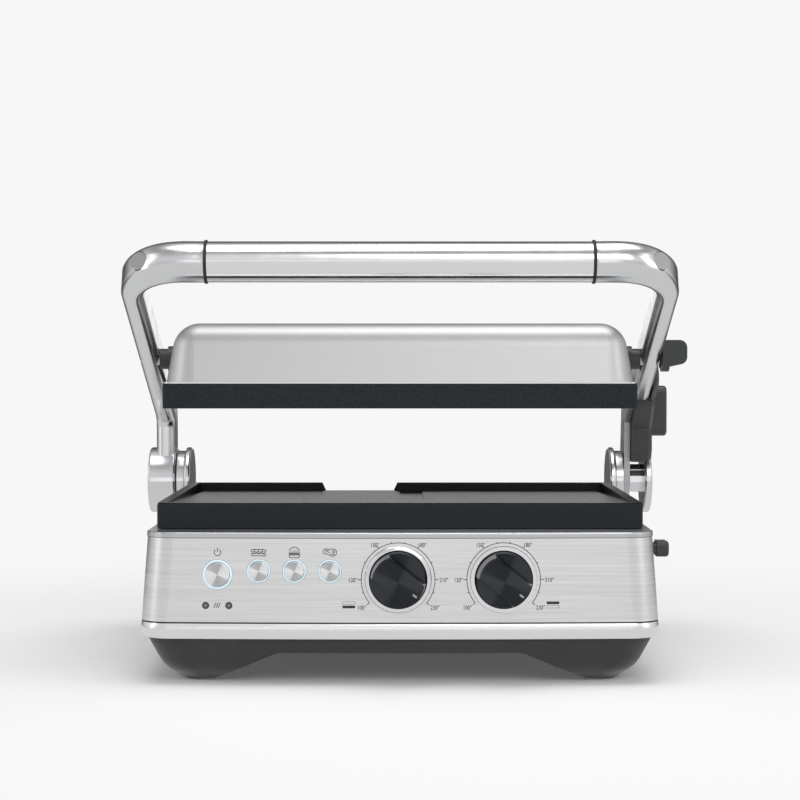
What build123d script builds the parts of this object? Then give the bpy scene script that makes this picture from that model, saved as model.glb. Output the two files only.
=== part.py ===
"""Contact grill with a flat lower plate on a control base and a ribbed upper plate on swing arms.

Millimetres, +Z up, +X to the user's right, the user on the -Y side. The origin is on the worktop,
under the middle of the whole object.
"""
import os
from math import cos, radians, sin, tan

from build123d import *

os.makedirs("parts", exist_ok=True)

# ---------------------------------------------------------------- driving dimensions
# cooking plates
plate_length = 345
plate_depth = 245
lower_plate_height = 17.7
upper_plate_height = 18.1
plate_skirt_wall = 4
rim_width = 7
surface_fall = 5.9
plate_gap_open = 66.4

# base: heights from the worktop, and margins round the plate
foot_proud = 1.5
arch_height = 22
housing_top = 31.8
trim_height = 12.4
panel_height = 59.1
deck_thickness = 3.7
pan_wall = 0.6
front_margin = 30
deck_side_margin = 6
panel_top_inset = 0.5
panel_side_draft = 4.4
panel_front_draft = 1
front_crown = 5
front_corner = 21
back_corner = 12
panel_wall = 1.2
trim_wall = 3
housing_wall = 2.5
hinge_gap = 34
back_margin = 31

# controls
knob_x = (-1.3, 72.1)
knob_z = 74.4
knob_radius = 19.7
knob_reach = 20
knob_skirt = 5
knob_grip_width = 21
knob_grip_taper = 5
knob_rest_angle = -39
bezel_radius = 23
bezel_inner_radius = 20.4
bezel_proud = 1.4
power_x = -127
power_z = 77.8
power_radius = 8.5
power_ring_radius = 10.3
preset_x = (-98.3, -73.4, -48.8)
preset_z = 80.3
preset_radius = 6.8
preset_ring_radius = 8.1
button_proud = 2.4
button_travel = 1.5
lamp_x = (-135.3, -119.1)
lamp_z = 56.2
lamp_radius = 2.25
ring_proud = 0.6
carrier_set_back = 4.6
carrier_thickness = 2.4
board_gap = 6
board_thickness = 1.6
shaft_radius = 3
release_y = -80
release_z = 89
release_width = 16
release_height = 8
release_reach = 17.8
release_cap_thickness = 8.8
release_cap_margin = 1.8
release_travel = 5
latch_set_in = 9.5

# hinge, arms and handle: across from the plate's end, and round the hinge axis
hinge_rise = 0.3
hinge_radius = 27.4
hinge_pin_radius = 5
collar_inset = 2.5
collar_cap_thickness = 5
arm_gap = 15.5
arm_width = 16
arm_height = 28
arm_edge = 6.5
arm_slope = 24
knee_u = 4
knee_v = 58.1
knee_radius = 20
disc_overhang = 6
handle_u = 259
handle_radius = 14.7
handle_wall = 2.1
handle_seal_x = 138.9
seal_width = 2.4
seal_radius = 15.8
corner_radius = 40
bracket_thickness = 4.8
cam_radius = 15.2
cam_steps = 5
right_cap_thickness = 6
plug_radius = 7
housing_reach = 5
stop_bottom_v = 16.2
slider_travel = 16
tab_length = 42
tab_bottom_v = 37.4

# lid
pivot_u = 122
pivot_v = 102
pivot_pin_radius = 5
pivot_boss_radius = 8
cover_rise = 42.8
cover_slope = 10.5
cover_top_radius = 20
cover_corner = 22
cover_wall = 1.2
cover_inset = 0.9
lid_frame_thickness = 1.2
lever_reach = 19.6
lever_height = 20
rib_pitch = 11.5
rib_depth = 4

# drip tray
spout_left = -64.6
spout_right = -1.7
tray_width = 100
tray_height = 40
tray_wall = 1.8
tray_floor_z = 57

# clearances
fit_gap = 0.3
pin_gap = 0.05
button_gap = 0.25
travel_gap = 0.6

# ---------------------------------------------------------------- worked-out places
half_plate = plate_length / 2
deck_half = half_plate + deck_side_margin
trim_half = deck_half - panel_top_inset + panel_side_draft
trim_top = housing_top + trim_height
panel_top = trim_top + panel_height
deck_top = panel_top + deck_thickness
plate_bottom = deck_top + pan_wall
plate_top = plate_bottom + lower_plate_height

overall_depth = knob_reach + front_margin + plate_depth + hinge_gap + back_margin
base_front = knob_reach - overall_depth / 2
base_back = overall_depth / 2
plate_front = base_front + front_margin
plate_back = plate_front + plate_depth
hinge_y = plate_back + hinge_gap
hinge_z = plate_top + hinge_rise

arm_inner = half_plate + arm_gap
arm_outer = arm_inner + arm_width
arm_middle = (arm_inner + arm_outer) / 2
disc_inner = arm_inner - 0.5
disc_outer = arm_outer + disc_overhang
collar_inner = half_plate + collar_inset
collar_outer = disc_inner - 0.5
post_inner = collar_inner - 12
lever_outer = arm_outer + lever_reach

# The disc on the left and the lever on the right reach unequally, so the base stands off centre.
mid_x = (disc_outer - lever_outer) / 2

handle_v = knee_v + (handle_u - knee_u) * tan(radians(arm_slope))
pivot_y = hinge_y - pivot_u
pivot_z = hinge_z + pivot_v
upper_bottom = plate_top + plate_gap_open
upper_top = upper_bottom + upper_plate_height
lid_front = pivot_y - plate_depth / 2
lid_back = lid_front + plate_depth
cover_bottom = upper_top + lid_frame_thickness


def plan(z):
    """Level plane at height z, centred on the base."""
    return Plane(origin=(mid_x, 0, z))


def front(y):
    """Upright plane across the object at depth y, facing the user: local x is X, local y is Z."""
    return Plane(origin=(mid_x, y, 0), x_dir=(1, 0, 0), z_dir=(0, -1, 0))


def side(x):
    """Upright plane at x, facing right: local x is Y, local y is Z."""
    return Plane(origin=(mid_x + x, 0, 0), x_dir=(0, 1, 0), z_dir=(1, 0, 0))


def hinge_side(x):
    """Upright plane at x, facing left, from the hinge axis: local x is forward, local y is up."""
    return Plane(origin=(mid_x + x, hinge_y, hinge_z), x_dir=(0, -1, 0), z_dir=(-1, 0, 0))


middle = Plane(origin=(mid_x, 0, 0), z_dir=(1, 0, 0))


def finish(part, name):
    """Label a finished piece and write its file."""
    part.label = name
    export_step(part, f"parts/{name}.step")


def panel_front(x, z):
    """Depth of the front panel's face at x and height z."""
    lean = panel_front_draft * (panel_top - z) / panel_height
    return base_front - lean + front_crown * (x / deck_half) ** 2


def outline(z, half_width, y_front, y_back, wall=0):
    """Closed outline of the base at height z: crowned front, rounded corners, shrunk by the wall."""
    x_side = half_width - wall
    y_nose = y_front + wall
    y_rear = y_back - wall
    with BuildSketch(plan(z)) as ring:
        with BuildLine():
            Polyline(
                (x_side, y_nose + front_crown),
                (x_side, y_rear),
                (-x_side, y_rear),
                (-x_side, y_nose + front_crown),
            )
            ThreePointArc((-x_side, y_nose + front_crown), (0, y_nose), (x_side, y_nose + front_crown))
        make_face()
        fillet(ring.vertices().group_by(Axis.Y)[-1], back_corner - wall)
        fillet(ring.vertices().group_by(Axis.Y)[0], front_corner - wall)
    return ring.sketch


def base_outline(z, inset, wall=0):
    """Outline at height z, inset all round from the base's widest line."""
    y_front = base_front - panel_front_draft + inset
    y_back = base_back - max(inset - panel_side_draft, 0)
    return outline(z, trim_half - inset, y_front, y_back, wall)


def panel_outline(z, wall=0):
    """Outline of the brushed panel at height z, which leans in towards the deck."""
    share = (z - trim_top) / panel_height
    y_front = base_front - panel_front_draft * (1 - share)
    return outline(z, trim_half - panel_side_draft * share, y_front, base_back, wall)


# ---------------------------------------------------------------- bottom housing, feet and screws
housing_insets = (
    (foot_proud, 24.6),
    (4, 22.4),
    (9.9, 15.4),
    (16.9, 11),
    (24.5, 7.4),
    (housing_top, panel_side_draft),
)
foot_outer = trim_half - housing_insets[0][1]
foot_width = 25.8
arch_slope_run = 46
arch_corner = 12
side_arch_height = 16
foot_depth = 40
foot_x = foot_outer - foot_width / 2
foot_front_y = base_front - panel_front_draft + housing_insets[0][1] + foot_depth / 2
foot_back_y = base_back - housing_insets[0][1] + panel_side_draft - foot_depth / 2
foot_places = [(x, y) for x in (-foot_x, foot_x) for y in (foot_front_y, foot_back_y)]
pad_radius = 9.5
pad_height = 4.5
screw_head_radius = 3.6
screw_head_height = 3
screw_radius = 1.8
screw_length = 30
boss_radius = 5


def housing_form(wall):
    """The housing's bowl as a solid, shrunk by the wall."""
    with BuildPart() as form:
        loft([base_outline(z, inset, wall) for z, inset in housing_insets])
    return form.part


def under_arches(wall):
    """The arches under the housing, front to back and side to side, grown by the wall."""
    inner = foot_outer - foot_width
    with BuildPart() as arches:
        with BuildSketch(front(base_back + 1)) as long_arch:
            Polygon(
                (-inner - wall, foot_proud - 4),
                (-inner - wall, foot_proud),
                (-inner + arch_slope_run - wall, arch_height + wall),
                (inner - arch_slope_run + wall, arch_height + wall),
                (inner + wall, foot_proud),
                (inner + wall, foot_proud - 4),
                align=None,
            )
            fillet(long_arch.vertices().group_by(Axis.Y)[-1], arch_corner)
        extrude(amount=overall_depth)
        with BuildSketch(side(-trim_half)) as cross_arch:
            Polygon(
                (foot_front_y + foot_depth / 2 - wall, foot_proud - 4),
                (foot_front_y + foot_depth / 2 - wall, foot_proud),
                (foot_front_y + foot_depth - wall, side_arch_height + wall),
                (foot_back_y - foot_depth + wall, side_arch_height + wall),
                (foot_back_y - foot_depth / 2 + wall, foot_proud),
                (foot_back_y - foot_depth / 2 + wall, foot_proud - 4),
                align=None,
            )
            fillet(cross_arch.vertices().group_by(Axis.Y)[-1], arch_corner)
        extrude(amount=2 * trim_half)
    return arches.part


with BuildPart() as housing_cavity:
    add(housing_form(housing_wall))
    add(under_arches(housing_wall), mode=Mode.SUBTRACT)
    with BuildSketch(plan(0)):
        Rectangle(2 * trim_half, overall_depth)
    extrude(amount=foot_proud + housing_wall, mode=Mode.SUBTRACT)

with BuildPart() as bottom_housing:
    add(housing_form(0))
    add(under_arches(0), mode=Mode.SUBTRACT)
    add(housing_cavity.part, mode=Mode.SUBTRACT)
    with BuildSketch(plan(foot_proud)):
        with Locations(*foot_places):
            Circle(pad_radius + 2)
    extrude(amount=arch_height)
    with BuildSketch(plan(0)):
        with Locations(*foot_places):
            Circle(pad_radius + pin_gap)
    extrude(amount=pad_height, mode=Mode.SUBTRACT)
    with BuildSketch(plan(pad_height)):
        with Locations(*foot_places):
            Circle(screw_head_radius + fit_gap)
    extrude(amount=screw_head_height, mode=Mode.SUBTRACT)
    with BuildSketch(plan(pad_height)):
        with Locations(*foot_places):
            Circle(screw_radius + fit_gap)
    extrude(amount=housing_top, mode=Mode.SUBTRACT)
finish(bottom_housing.part, "bottom_housing")

with BuildPart() as rubber_feet:
    with BuildSketch(plan(0)):
        with Locations(*foot_places):
            Circle(pad_radius)
    extrude(amount=pad_height)
    chamfer(rubber_feet.faces().filter_by(Axis.Z).group_by(Axis.Z)[0].edges(), 0.8)
finish(rubber_feet.part, "rubber_feet")

with BuildPart() as base_screws:
    with BuildSketch(plan(pad_height + pin_gap)):
        with Locations(*foot_places):
            Circle(screw_head_radius)
    extrude(amount=screw_head_height - pin_gap)
    with BuildSketch(plan(pad_height + screw_head_height)):
        with Locations(*foot_places):
            Circle(screw_radius)
    extrude(amount=screw_length)
    with BuildSketch(plan(pad_height + pin_gap)):
        with Locations(*foot_places):
            RegularPolygon(1.6, 6)
    extrude(amount=1.6, mode=Mode.SUBTRACT)
finish(base_screws.part, "base_screws")

# ---------------------------------------------------------------- trim band, panel and deck
trim_insets = (
    (housing_top, 3.6),
    (housing_top + 1.6, 1.5),
    (housing_top + 4.4, 0),
    (trim_top - 1.4, 0),
    (trim_top, 0.5),
)
lamp_places = [(x, lamp_z) for x in lamp_x]
preset_places = [(x, preset_z, preset_radius, preset_ring_radius) for x in preset_x]
button_places = [(power_x, power_z, power_radius, power_ring_radius)] + preset_places
tray_middle = (spout_left + spout_right) / 2
gland_x = 120
gland_z = 62
gland_radius = 8
gland_bore = 3.8
pan_margin = 20
pan_half = half_plate - pan_margin
pan_front = plate_front + pan_margin
pan_back = plate_back - pan_margin / 2
pan_floor_z = 90
latch_x = half_plate - latch_set_in
latch_thickness = 3
latch_window = (latch_x - release_travel - travel_gap, latch_x + latch_thickness + travel_gap)

with BuildPart() as trim_band:
    loft([base_outline(z, inset) for z, inset in trim_insets])
    extrude(base_outline(housing_top, 4.4, trim_wall), amount=trim_height, mode=Mode.SUBTRACT)
finish(trim_band.part, "trim_band")


def hinge_notch(x_from, margin):
    """Clearance at one rear corner for the hinge post and the rings beside it."""
    with BuildPart() as notch:
        with BuildSketch(hinge_side(trim_half + 5)):
            Rectangle(2 * (hinge_radius + margin), 2 * (hinge_radius + margin))
        extrude(amount=trim_half + 5 - x_from)
    return notch.part


with BuildPart() as body_panel:
    loft([panel_outline(trim_top), panel_outline(panel_top)])
    loft([panel_outline(trim_top, panel_wall), panel_outline(panel_top, panel_wall)], mode=Mode.SUBTRACT)
    with BuildSketch(front(base_front + front_crown + panel_wall + 1)):
        with Locations(*[(x, knob_z) for x in knob_x]):
            Circle(bezel_radius + button_gap)
        for x, z, cap_radius, ring_radius in button_places:
            with Locations((x, z)):
                Circle(ring_radius + button_gap)
        with Locations(*lamp_places):
            Circle(lamp_radius + button_gap)
    extrude(amount=front_crown + panel_wall + 5, mode=Mode.SUBTRACT)
    with BuildSketch(side(half_plate)):
        with Locations((release_y, release_z)):
            RectangleRounded(release_width + 2 * button_gap, release_height + 2 * button_gap, 2)
    extrude(amount=release_reach, mode=Mode.SUBTRACT)
    with BuildSketch(front(base_back + 1)):
        with Locations((tray_middle, tray_floor_z + tray_height / 2)):
            Rectangle(tray_width + 2 * travel_gap, tray_height + 2 * travel_gap)
        with Locations((gland_x, gland_z)):
            Circle(gland_radius + pin_gap)
    extrude(amount=panel_wall + 2, mode=Mode.SUBTRACT)
    add(hinge_notch(post_inner - travel_gap, travel_gap), mode=Mode.SUBTRACT)
    mirror(hinge_notch(post_inner - travel_gap, travel_gap), about=middle, mode=Mode.SUBTRACT)
finish(body_panel.part, "body_panel")

chute_front = plate_back + 3
chute_depth = 17
boss_pilot_depth = 14

with BuildPart() as top_deck:
    extrude(outline(panel_top, deck_half, base_front, base_back), amount=deck_thickness)
    fillet(top_deck.faces().sort_by(Axis.Z)[-1].outer_wire().edges(), 1.2)
    with BuildSketch(plan(panel_top)):
        with Locations((0, (pan_front + pan_back) / 2)):
            RectangleRounded(2 * pan_half + 1, pan_back - pan_front + 1, 15)
        with Locations((tray_middle, chute_front + chute_depth / 2)):
            RectangleRounded(spout_right - spout_left, chute_depth, 4)
        with Locations(((latch_window[0] + latch_window[1]) / 2, release_y)):
            Rectangle(latch_window[1] - latch_window[0], release_width - 2)
    extrude(amount=deck_thickness, mode=Mode.SUBTRACT)
    with BuildSketch(plan(panel_top)):
        with Locations(*foot_places):
            Circle(boss_radius)
    extrude(amount=foot_proud + arch_height - panel_top)
    with BuildSketch(plan(foot_proud + arch_height)):
        with Locations(*foot_places):
            Circle(screw_radius + pin_gap)
    extrude(amount=boss_pilot_depth + pad_height, mode=Mode.SUBTRACT)
    add(hinge_notch(post_inner - travel_gap, travel_gap), mode=Mode.SUBTRACT)
    mirror(hinge_notch(post_inner - travel_gap, travel_gap), about=middle, mode=Mode.SUBTRACT)
finish(top_deck.part, "top_deck")

# ---------------------------------------------------------------- controls behind and on the front panel
carrier_front = base_front + carrier_set_back
carrier_back = carrier_front + carrier_thickness
board_front = carrier_back + board_gap
carrier_left = lamp_x[0] - 12
carrier_right = knob_x[1] + bezel_radius + 8
carrier_low = lamp_z - 8
carrier_high = knob_z + bezel_radius + 2
stem_radius = 2
switch_side = 6
switch_height = 2.6
encoder_side = 13
shaft_reach = 12
spacer_radius = 3
spacer_x = (carrier_left + 8, carrier_right - 8)
spacer_z = (carrier_low + 5, carrier_high - 5)
spacer_places = [(x, z) for x in spacer_x for z in spacer_z]

with BuildPart() as control_carrier:
    with BuildSketch(front(carrier_back)):
        with Locations(((carrier_left + carrier_right) / 2, (carrier_low + carrier_high) / 2)):
            RectangleRounded(carrier_right - carrier_left, carrier_high - carrier_low, 4)
        for x, z, cap_radius, ring_radius in button_places:
            with Locations((x, z)):
                Circle(stem_radius + button_gap, mode=Mode.SUBTRACT)
        with Locations(*[(x, knob_z) for x in knob_x]):
            Circle(shaft_radius + 1, mode=Mode.SUBTRACT)
    extrude(amount=carrier_thickness)
    with BuildSketch(front(board_front)):
        with Locations(*spacer_places):
            Circle(spacer_radius)
    extrude(amount=board_gap)
finish(control_carrier.part, "control_carrier")

with BuildPart() as control_board:
    with BuildSketch(front(board_front + board_thickness)):
        with Locations(((carrier_left + carrier_right) / 2, (carrier_low + carrier_high) / 2)):
            Rectangle(carrier_right - carrier_left - 4, carrier_high - carrier_low - 2)
    extrude(amount=board_thickness)
finish(control_board.part, "control_board")

with BuildPart() as button_switches:
    for x, z, cap_radius, ring_radius in button_places:
        with BuildSketch(front(board_front)):
            with Locations((x, z)):
                Rectangle(switch_side, switch_side)
        extrude(amount=switch_height)
finish(button_switches.part, "button_switches")

with BuildPart() as knob_encoders:
    with BuildSketch(front(board_front)):
        with Locations(*[(x, knob_z) for x in knob_x]):
            Rectangle(encoder_side, encoder_side)
    extrude(amount=board_gap)
    with BuildSketch(front(board_front - board_gap)):
        with Locations(*[(x, knob_z) for x in knob_x]):
            Circle(shaft_radius)
    extrude(amount=carrier_thickness + carrier_set_back + shaft_reach)
finish(knob_encoders.part, "knob_encoders")

with BuildPart() as knob_bezels:
    for x in knob_x:
        bezel_face = panel_front(x, knob_z) - bezel_proud
        with BuildSketch(front(carrier_front)):
            with Locations((x, knob_z)):
                Circle(bezel_radius)
                Circle(bezel_inner_radius, mode=Mode.SUBTRACT)
        extrude(amount=carrier_front - bezel_face)
        outer_rim = knob_bezels.edges().filter_by(GeomType.CIRCLE).group_by(Axis.Y)[0]
        chamfer(outer_rim.filter_by(lambda edge: edge.radius > bezel_inner_radius + 1), 0.9)
finish(knob_bezels.part, "knob_bezels")

with BuildPart() as light_rings:
    for x, z, cap_radius, ring_radius in button_places:
        ring_face = panel_front(x, z) - ring_proud
        with BuildSketch(front(carrier_front)):
            with Locations((x, z)):
                Circle(ring_radius)
                Circle(cap_radius + button_gap, mode=Mode.SUBTRACT)
        extrude(amount=carrier_front - ring_face)
finish(light_rings.part, "light_rings")

with BuildPart() as indicator_lamps:
    for x, z in lamp_places:
        with BuildSketch(front(carrier_front)):
            with Locations((x, z)):
                Circle(lamp_radius)
        extrude(amount=carrier_front - panel_front(x, z) + ring_proud)
finish(indicator_lamps.part, "indicator_lamps")


def press_button(x, z, radius, name):
    """A round push button: cap proud of its light ring, on a stem that reaches its switch."""
    face = panel_front(x, z) - button_proud
    with BuildPart() as button:
        with BuildSketch(front(carrier_front - button_travel - fit_gap)):
            with Locations((x, z)):
                Circle(radius)
        extrude(amount=carrier_front - button_travel - fit_gap - face)
        fillet(button.faces().sort_by(Axis.Y)[0].edges(), 0.6)
        with BuildSketch(front(board_front - switch_height - button_travel - fit_gap)):
            with Locations((x, z)):
                Circle(stem_radius)
        extrude(amount=board_front - switch_height - button_travel - fit_gap - face - 1)
    finish(button.part, name)


press_button(power_x, power_z, power_radius, "power_button")
for number, x in enumerate(preset_x, start=1):
    press_button(x, preset_z, preset_radius, f"preset_button_{number}")


def control_knob(x, name):
    """A round knob with a raised grip bar across it and a pointer pocket at one end of the bar."""
    face = base_front - knob_reach
    skirt_back = panel_front(x, knob_z) - travel_gap
    skirt_face = skirt_back - knob_skirt
    along = (cos(radians(knob_rest_angle)), 0, sin(radians(knob_rest_angle)))
    bar = Plane(origin=(mid_x + x, skirt_face, knob_z), x_dir=along, z_dir=(0, -1, 0))
    with BuildPart() as knob:
        with BuildSketch(front(skirt_back)):
            with Locations((x, knob_z)):
                Circle(knob_radius)
        extrude(amount=knob_skirt)
        chamfer(knob.faces().sort_by(Axis.Y)[0].edges(), 1)
        with BuildSketch(bar):
            Circle(knob_radius - 0.4)
            Rectangle(2 * knob_radius, knob_grip_width, mode=Mode.INTERSECT)
        extrude(amount=skirt_face - face, taper=knob_grip_taper)
        chamfer(knob.faces().sort_by(Axis.Y)[0].edges(), 0.9)
        with BuildSketch(bar.offset(skirt_face - face)):
            with Locations((knob_radius - 5, 0)):
                SlotOverall(4, 1.6)
        extrude(amount=-0.6, mode=Mode.SUBTRACT)
        with BuildSketch(front(skirt_back)):
            with Locations((x, knob_z)):
                Circle(shaft_radius + pin_gap)
        extrude(amount=shaft_reach, mode=Mode.SUBTRACT)
    finish(knob.part, name)


control_knob(knob_x[0], "knob_left")
control_knob(knob_x[1], "knob_right")

# ---------------------------------------------------------------- inside the base
shield_z = 76
shield_inset = 42
element_radius = 3.3
element_inset = 32
element_bend = 28
skirt_hollow = 8
sensor_radius = 6
power_board_width = 130
power_board_depth = 90
power_board_z = 34
power_board_y = 20


def pan(z_floor, z_flange, inset, wall, flange):
    """A drawn sheet tray with a flange round its mouth."""
    depth_middle = (pan_front + pan_back) / 2
    width = 2 * (pan_half - inset)
    depth = pan_back - pan_front - 2 * inset
    with BuildPart() as tray:
        with BuildSketch(plan(z_floor)):
            with Locations((0, depth_middle)):
                RectangleRounded(width, depth, 14)
        extrude(amount=z_flange - z_floor)
        with BuildSketch(plan(z_flange - wall)):
            with Locations((0, depth_middle)):
                RectangleRounded(width + 2 * flange, depth + 2 * flange, 14 + flange)
        extrude(amount=wall)
        with BuildSketch(plan(z_floor + wall)):
            with Locations((0, depth_middle)):
                RectangleRounded(width - 2 * wall, depth - 2 * wall, 14 - wall)
        extrude(amount=z_flange - z_floor, mode=Mode.SUBTRACT)
    return tray.part


def heating_element(z, y_middle, depth):
    """A sheathed rod bent to and fro under a plate, its two cold ends to the rear."""
    reach = half_plate - element_inset
    half_depth = depth / 2 - element_inset
    inner = reach / 3
    with BuildPart() as element:
        with BuildLine(plan(z)) as route:
            FilletPolyline(
                (-reach, y_middle + half_depth),
                (-reach, y_middle - half_depth),
                (-inner, y_middle - half_depth),
                (-inner, y_middle + half_depth - 15),
                (inner, y_middle + half_depth - 15),
                (inner, y_middle - half_depth),
                (reach, y_middle - half_depth),
                (reach, y_middle + half_depth),
                radius=element_bend,
            )
        with BuildSketch(Plane(route.line @ 0, z_dir=route.line % 0)):
            Circle(element_radius)
        sweep(path=route.wire())
    return element.part


with BuildPart() as lower_reflector_pan:
    add(pan(pan_floor_z, plate_bottom, 0, pan_wall, 8))
    with BuildSketch(plan(deck_top)):
        with Locations((half_plate, release_y)):
            Rectangle(2 * (half_plate - latch_window[0]), release_width - 2)
    extrude(amount=pan_wall, mode=Mode.SUBTRACT)
    with BuildSketch(plan(pan_floor_z)):
        with Locations((0, (plate_front + plate_back) / 2)):
            Circle(sensor_radius + fit_gap)
    extrude(amount=pan_wall, mode=Mode.SUBTRACT)
finish(lower_reflector_pan.part, "lower_reflector_pan")

with BuildPart() as heat_shield:
    with BuildSketch(plan(shield_z)):
        with Locations((0, (pan_front + pan_back) / 2)):
            RectangleRounded(2 * (pan_half - shield_inset), pan_back - pan_front - shield_inset, 10)
    extrude(amount=pan_floor_z - shield_z)
    with BuildSketch(plan(shield_z + pan_wall)):
        with Locations((0, (pan_front + pan_back) / 2)):
            inside = 2 * (pan_half - shield_inset - pan_wall)
            RectangleRounded(inside, pan_back - pan_front - shield_inset - 2 * pan_wall, 9)
    extrude(amount=pan_floor_z - shield_z, mode=Mode.SUBTRACT)
finish(heat_shield.part, "heat_shield")

element_z = plate_bottom + skirt_hollow - element_radius
lower_element = heating_element(element_z, (plate_front + plate_back) / 2, plate_depth)
finish(lower_element, "lower_heating_element")

with BuildPart() as lower_sensor:
    with BuildSketch(plan(shield_z + pan_wall)):
        with Locations((0, (plate_front + plate_back) / 2)):
            Circle(sensor_radius)
    extrude(amount=plate_bottom + skirt_hollow - shield_z - pan_wall)
finish(lower_sensor.part, "lower_sensor")

# The transformer and the two relays: place from the board's middle, width and depth.
block_places = ((-38, 18, 38, 32), (20, 22, 18, 22), (46, 22, 18, 22))
block_height = 19
capacitor_x = (-46, -30, -14)
capacitor_y = -26
capacitor_radius = 6
capacitor_height = 22
standoff_radius = 4
standoff_margin = 6

with BuildPart() as power_board:
    with BuildSketch(plan(power_board_z)):
        with Locations((0, power_board_y)):
            Rectangle(power_board_width, power_board_depth)
    extrude(amount=board_thickness)
    with BuildSketch(plan(power_board_z + board_thickness)):
        for x, y, width, depth in block_places:
            with Locations((x, power_board_y + y)):
                Rectangle(width, depth)
    extrude(amount=block_height)
    with BuildSketch(plan(power_board_z + board_thickness)):
        with Locations(*[(x, power_board_y + capacitor_y) for x in capacitor_x]):
            Circle(capacitor_radius)
    extrude(amount=capacitor_height)
finish(power_board.part, "power_board")

with BuildPart() as board_standoffs:
    with BuildSketch(plan(arch_height + housing_wall)):
        with Locations((0, power_board_y)):
            across = power_board_width - 2 * standoff_margin
            with GridLocations(across, power_board_depth - 2 * standoff_margin, 2, 2):
                Circle(standoff_radius)
    extrude(amount=power_board_z - arch_height - housing_wall)
finish(board_standoffs.part, "board_standoffs")

with BuildPart() as cord_gland:
    with BuildSketch(front(base_back)):
        with Locations((gland_x, gland_z)):
            Circle(gland_radius)
            Circle(gland_bore, mode=Mode.SUBTRACT)
    extrude(amount=14)
    with BuildSketch(front(base_back - panel_wall)):
        with Locations((gland_x, gland_z)):
            Circle(gland_radius + 3)
            Circle(gland_bore, mode=Mode.SUBTRACT)
    extrude(amount=3)
finish(cord_gland.part, "cord_gland")

# ---------------------------------------------------------------- drip tray at the back
tray_front_y = plate_back - 1
tray_depth = base_back - tray_front_y
sleeve_wall = 1.5
tray_rear_wall = 7
pocket_height = 14
pocket_depth = 4.5

with BuildPart() as tray_sleeve:
    sleeve_low = tray_floor_z - travel_gap - sleeve_wall
    sleeve_width = tray_width + 2 * (travel_gap + sleeve_wall)
    sleeve_depth = base_back - panel_wall - tray_front_y + travel_gap + sleeve_wall
    with BuildSketch(plan(sleeve_low)):
        with Locations((tray_middle, base_back - panel_wall - sleeve_depth / 2)):
            Rectangle(sleeve_width, sleeve_depth)
    extrude(amount=panel_top - sleeve_low)
    with BuildSketch(plan(sleeve_low + sleeve_wall)):
        with Locations((tray_middle, base_back - panel_wall - sleeve_depth / 2 + sleeve_wall)):
            Rectangle(sleeve_width - 2 * sleeve_wall, sleeve_depth)
    extrude(amount=panel_top - sleeve_low, mode=Mode.SUBTRACT)
finish(tray_sleeve.part, "tray_sleeve")

with BuildPart() as drip_tray:
    with BuildSketch(plan(tray_floor_z)):
        with Locations((tray_middle, tray_front_y + tray_depth / 2)):
            Rectangle(tray_width, tray_depth)
    extrude(amount=tray_height)
    with BuildSketch(plan(tray_floor_z + tray_wall)):
        with Locations((tray_middle, tray_front_y + (tray_depth - tray_rear_wall + tray_wall) / 2)):
            RectangleRounded(tray_width - 2 * tray_wall, tray_depth - tray_rear_wall - tray_wall, 5)
    extrude(amount=tray_height, mode=Mode.SUBTRACT)
    with BuildSketch(front(base_back)):
        with Locations((tray_middle, tray_floor_z + tray_height * 0.6)):
            RectangleRounded(tray_width / 2, pocket_height, 5)
    extrude(amount=pocket_depth, mode=Mode.SUBTRACT)
finish(drip_tray.part, "drip_tray")

# ---------------------------------------------------------------- lower cooking plate
gutter_width = 6
gutter_depth = 1.6
rim_start = 7
rim_step = 1
surface_back_z = plate_top - surface_fall
inner_half = half_plate - rim_width

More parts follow.
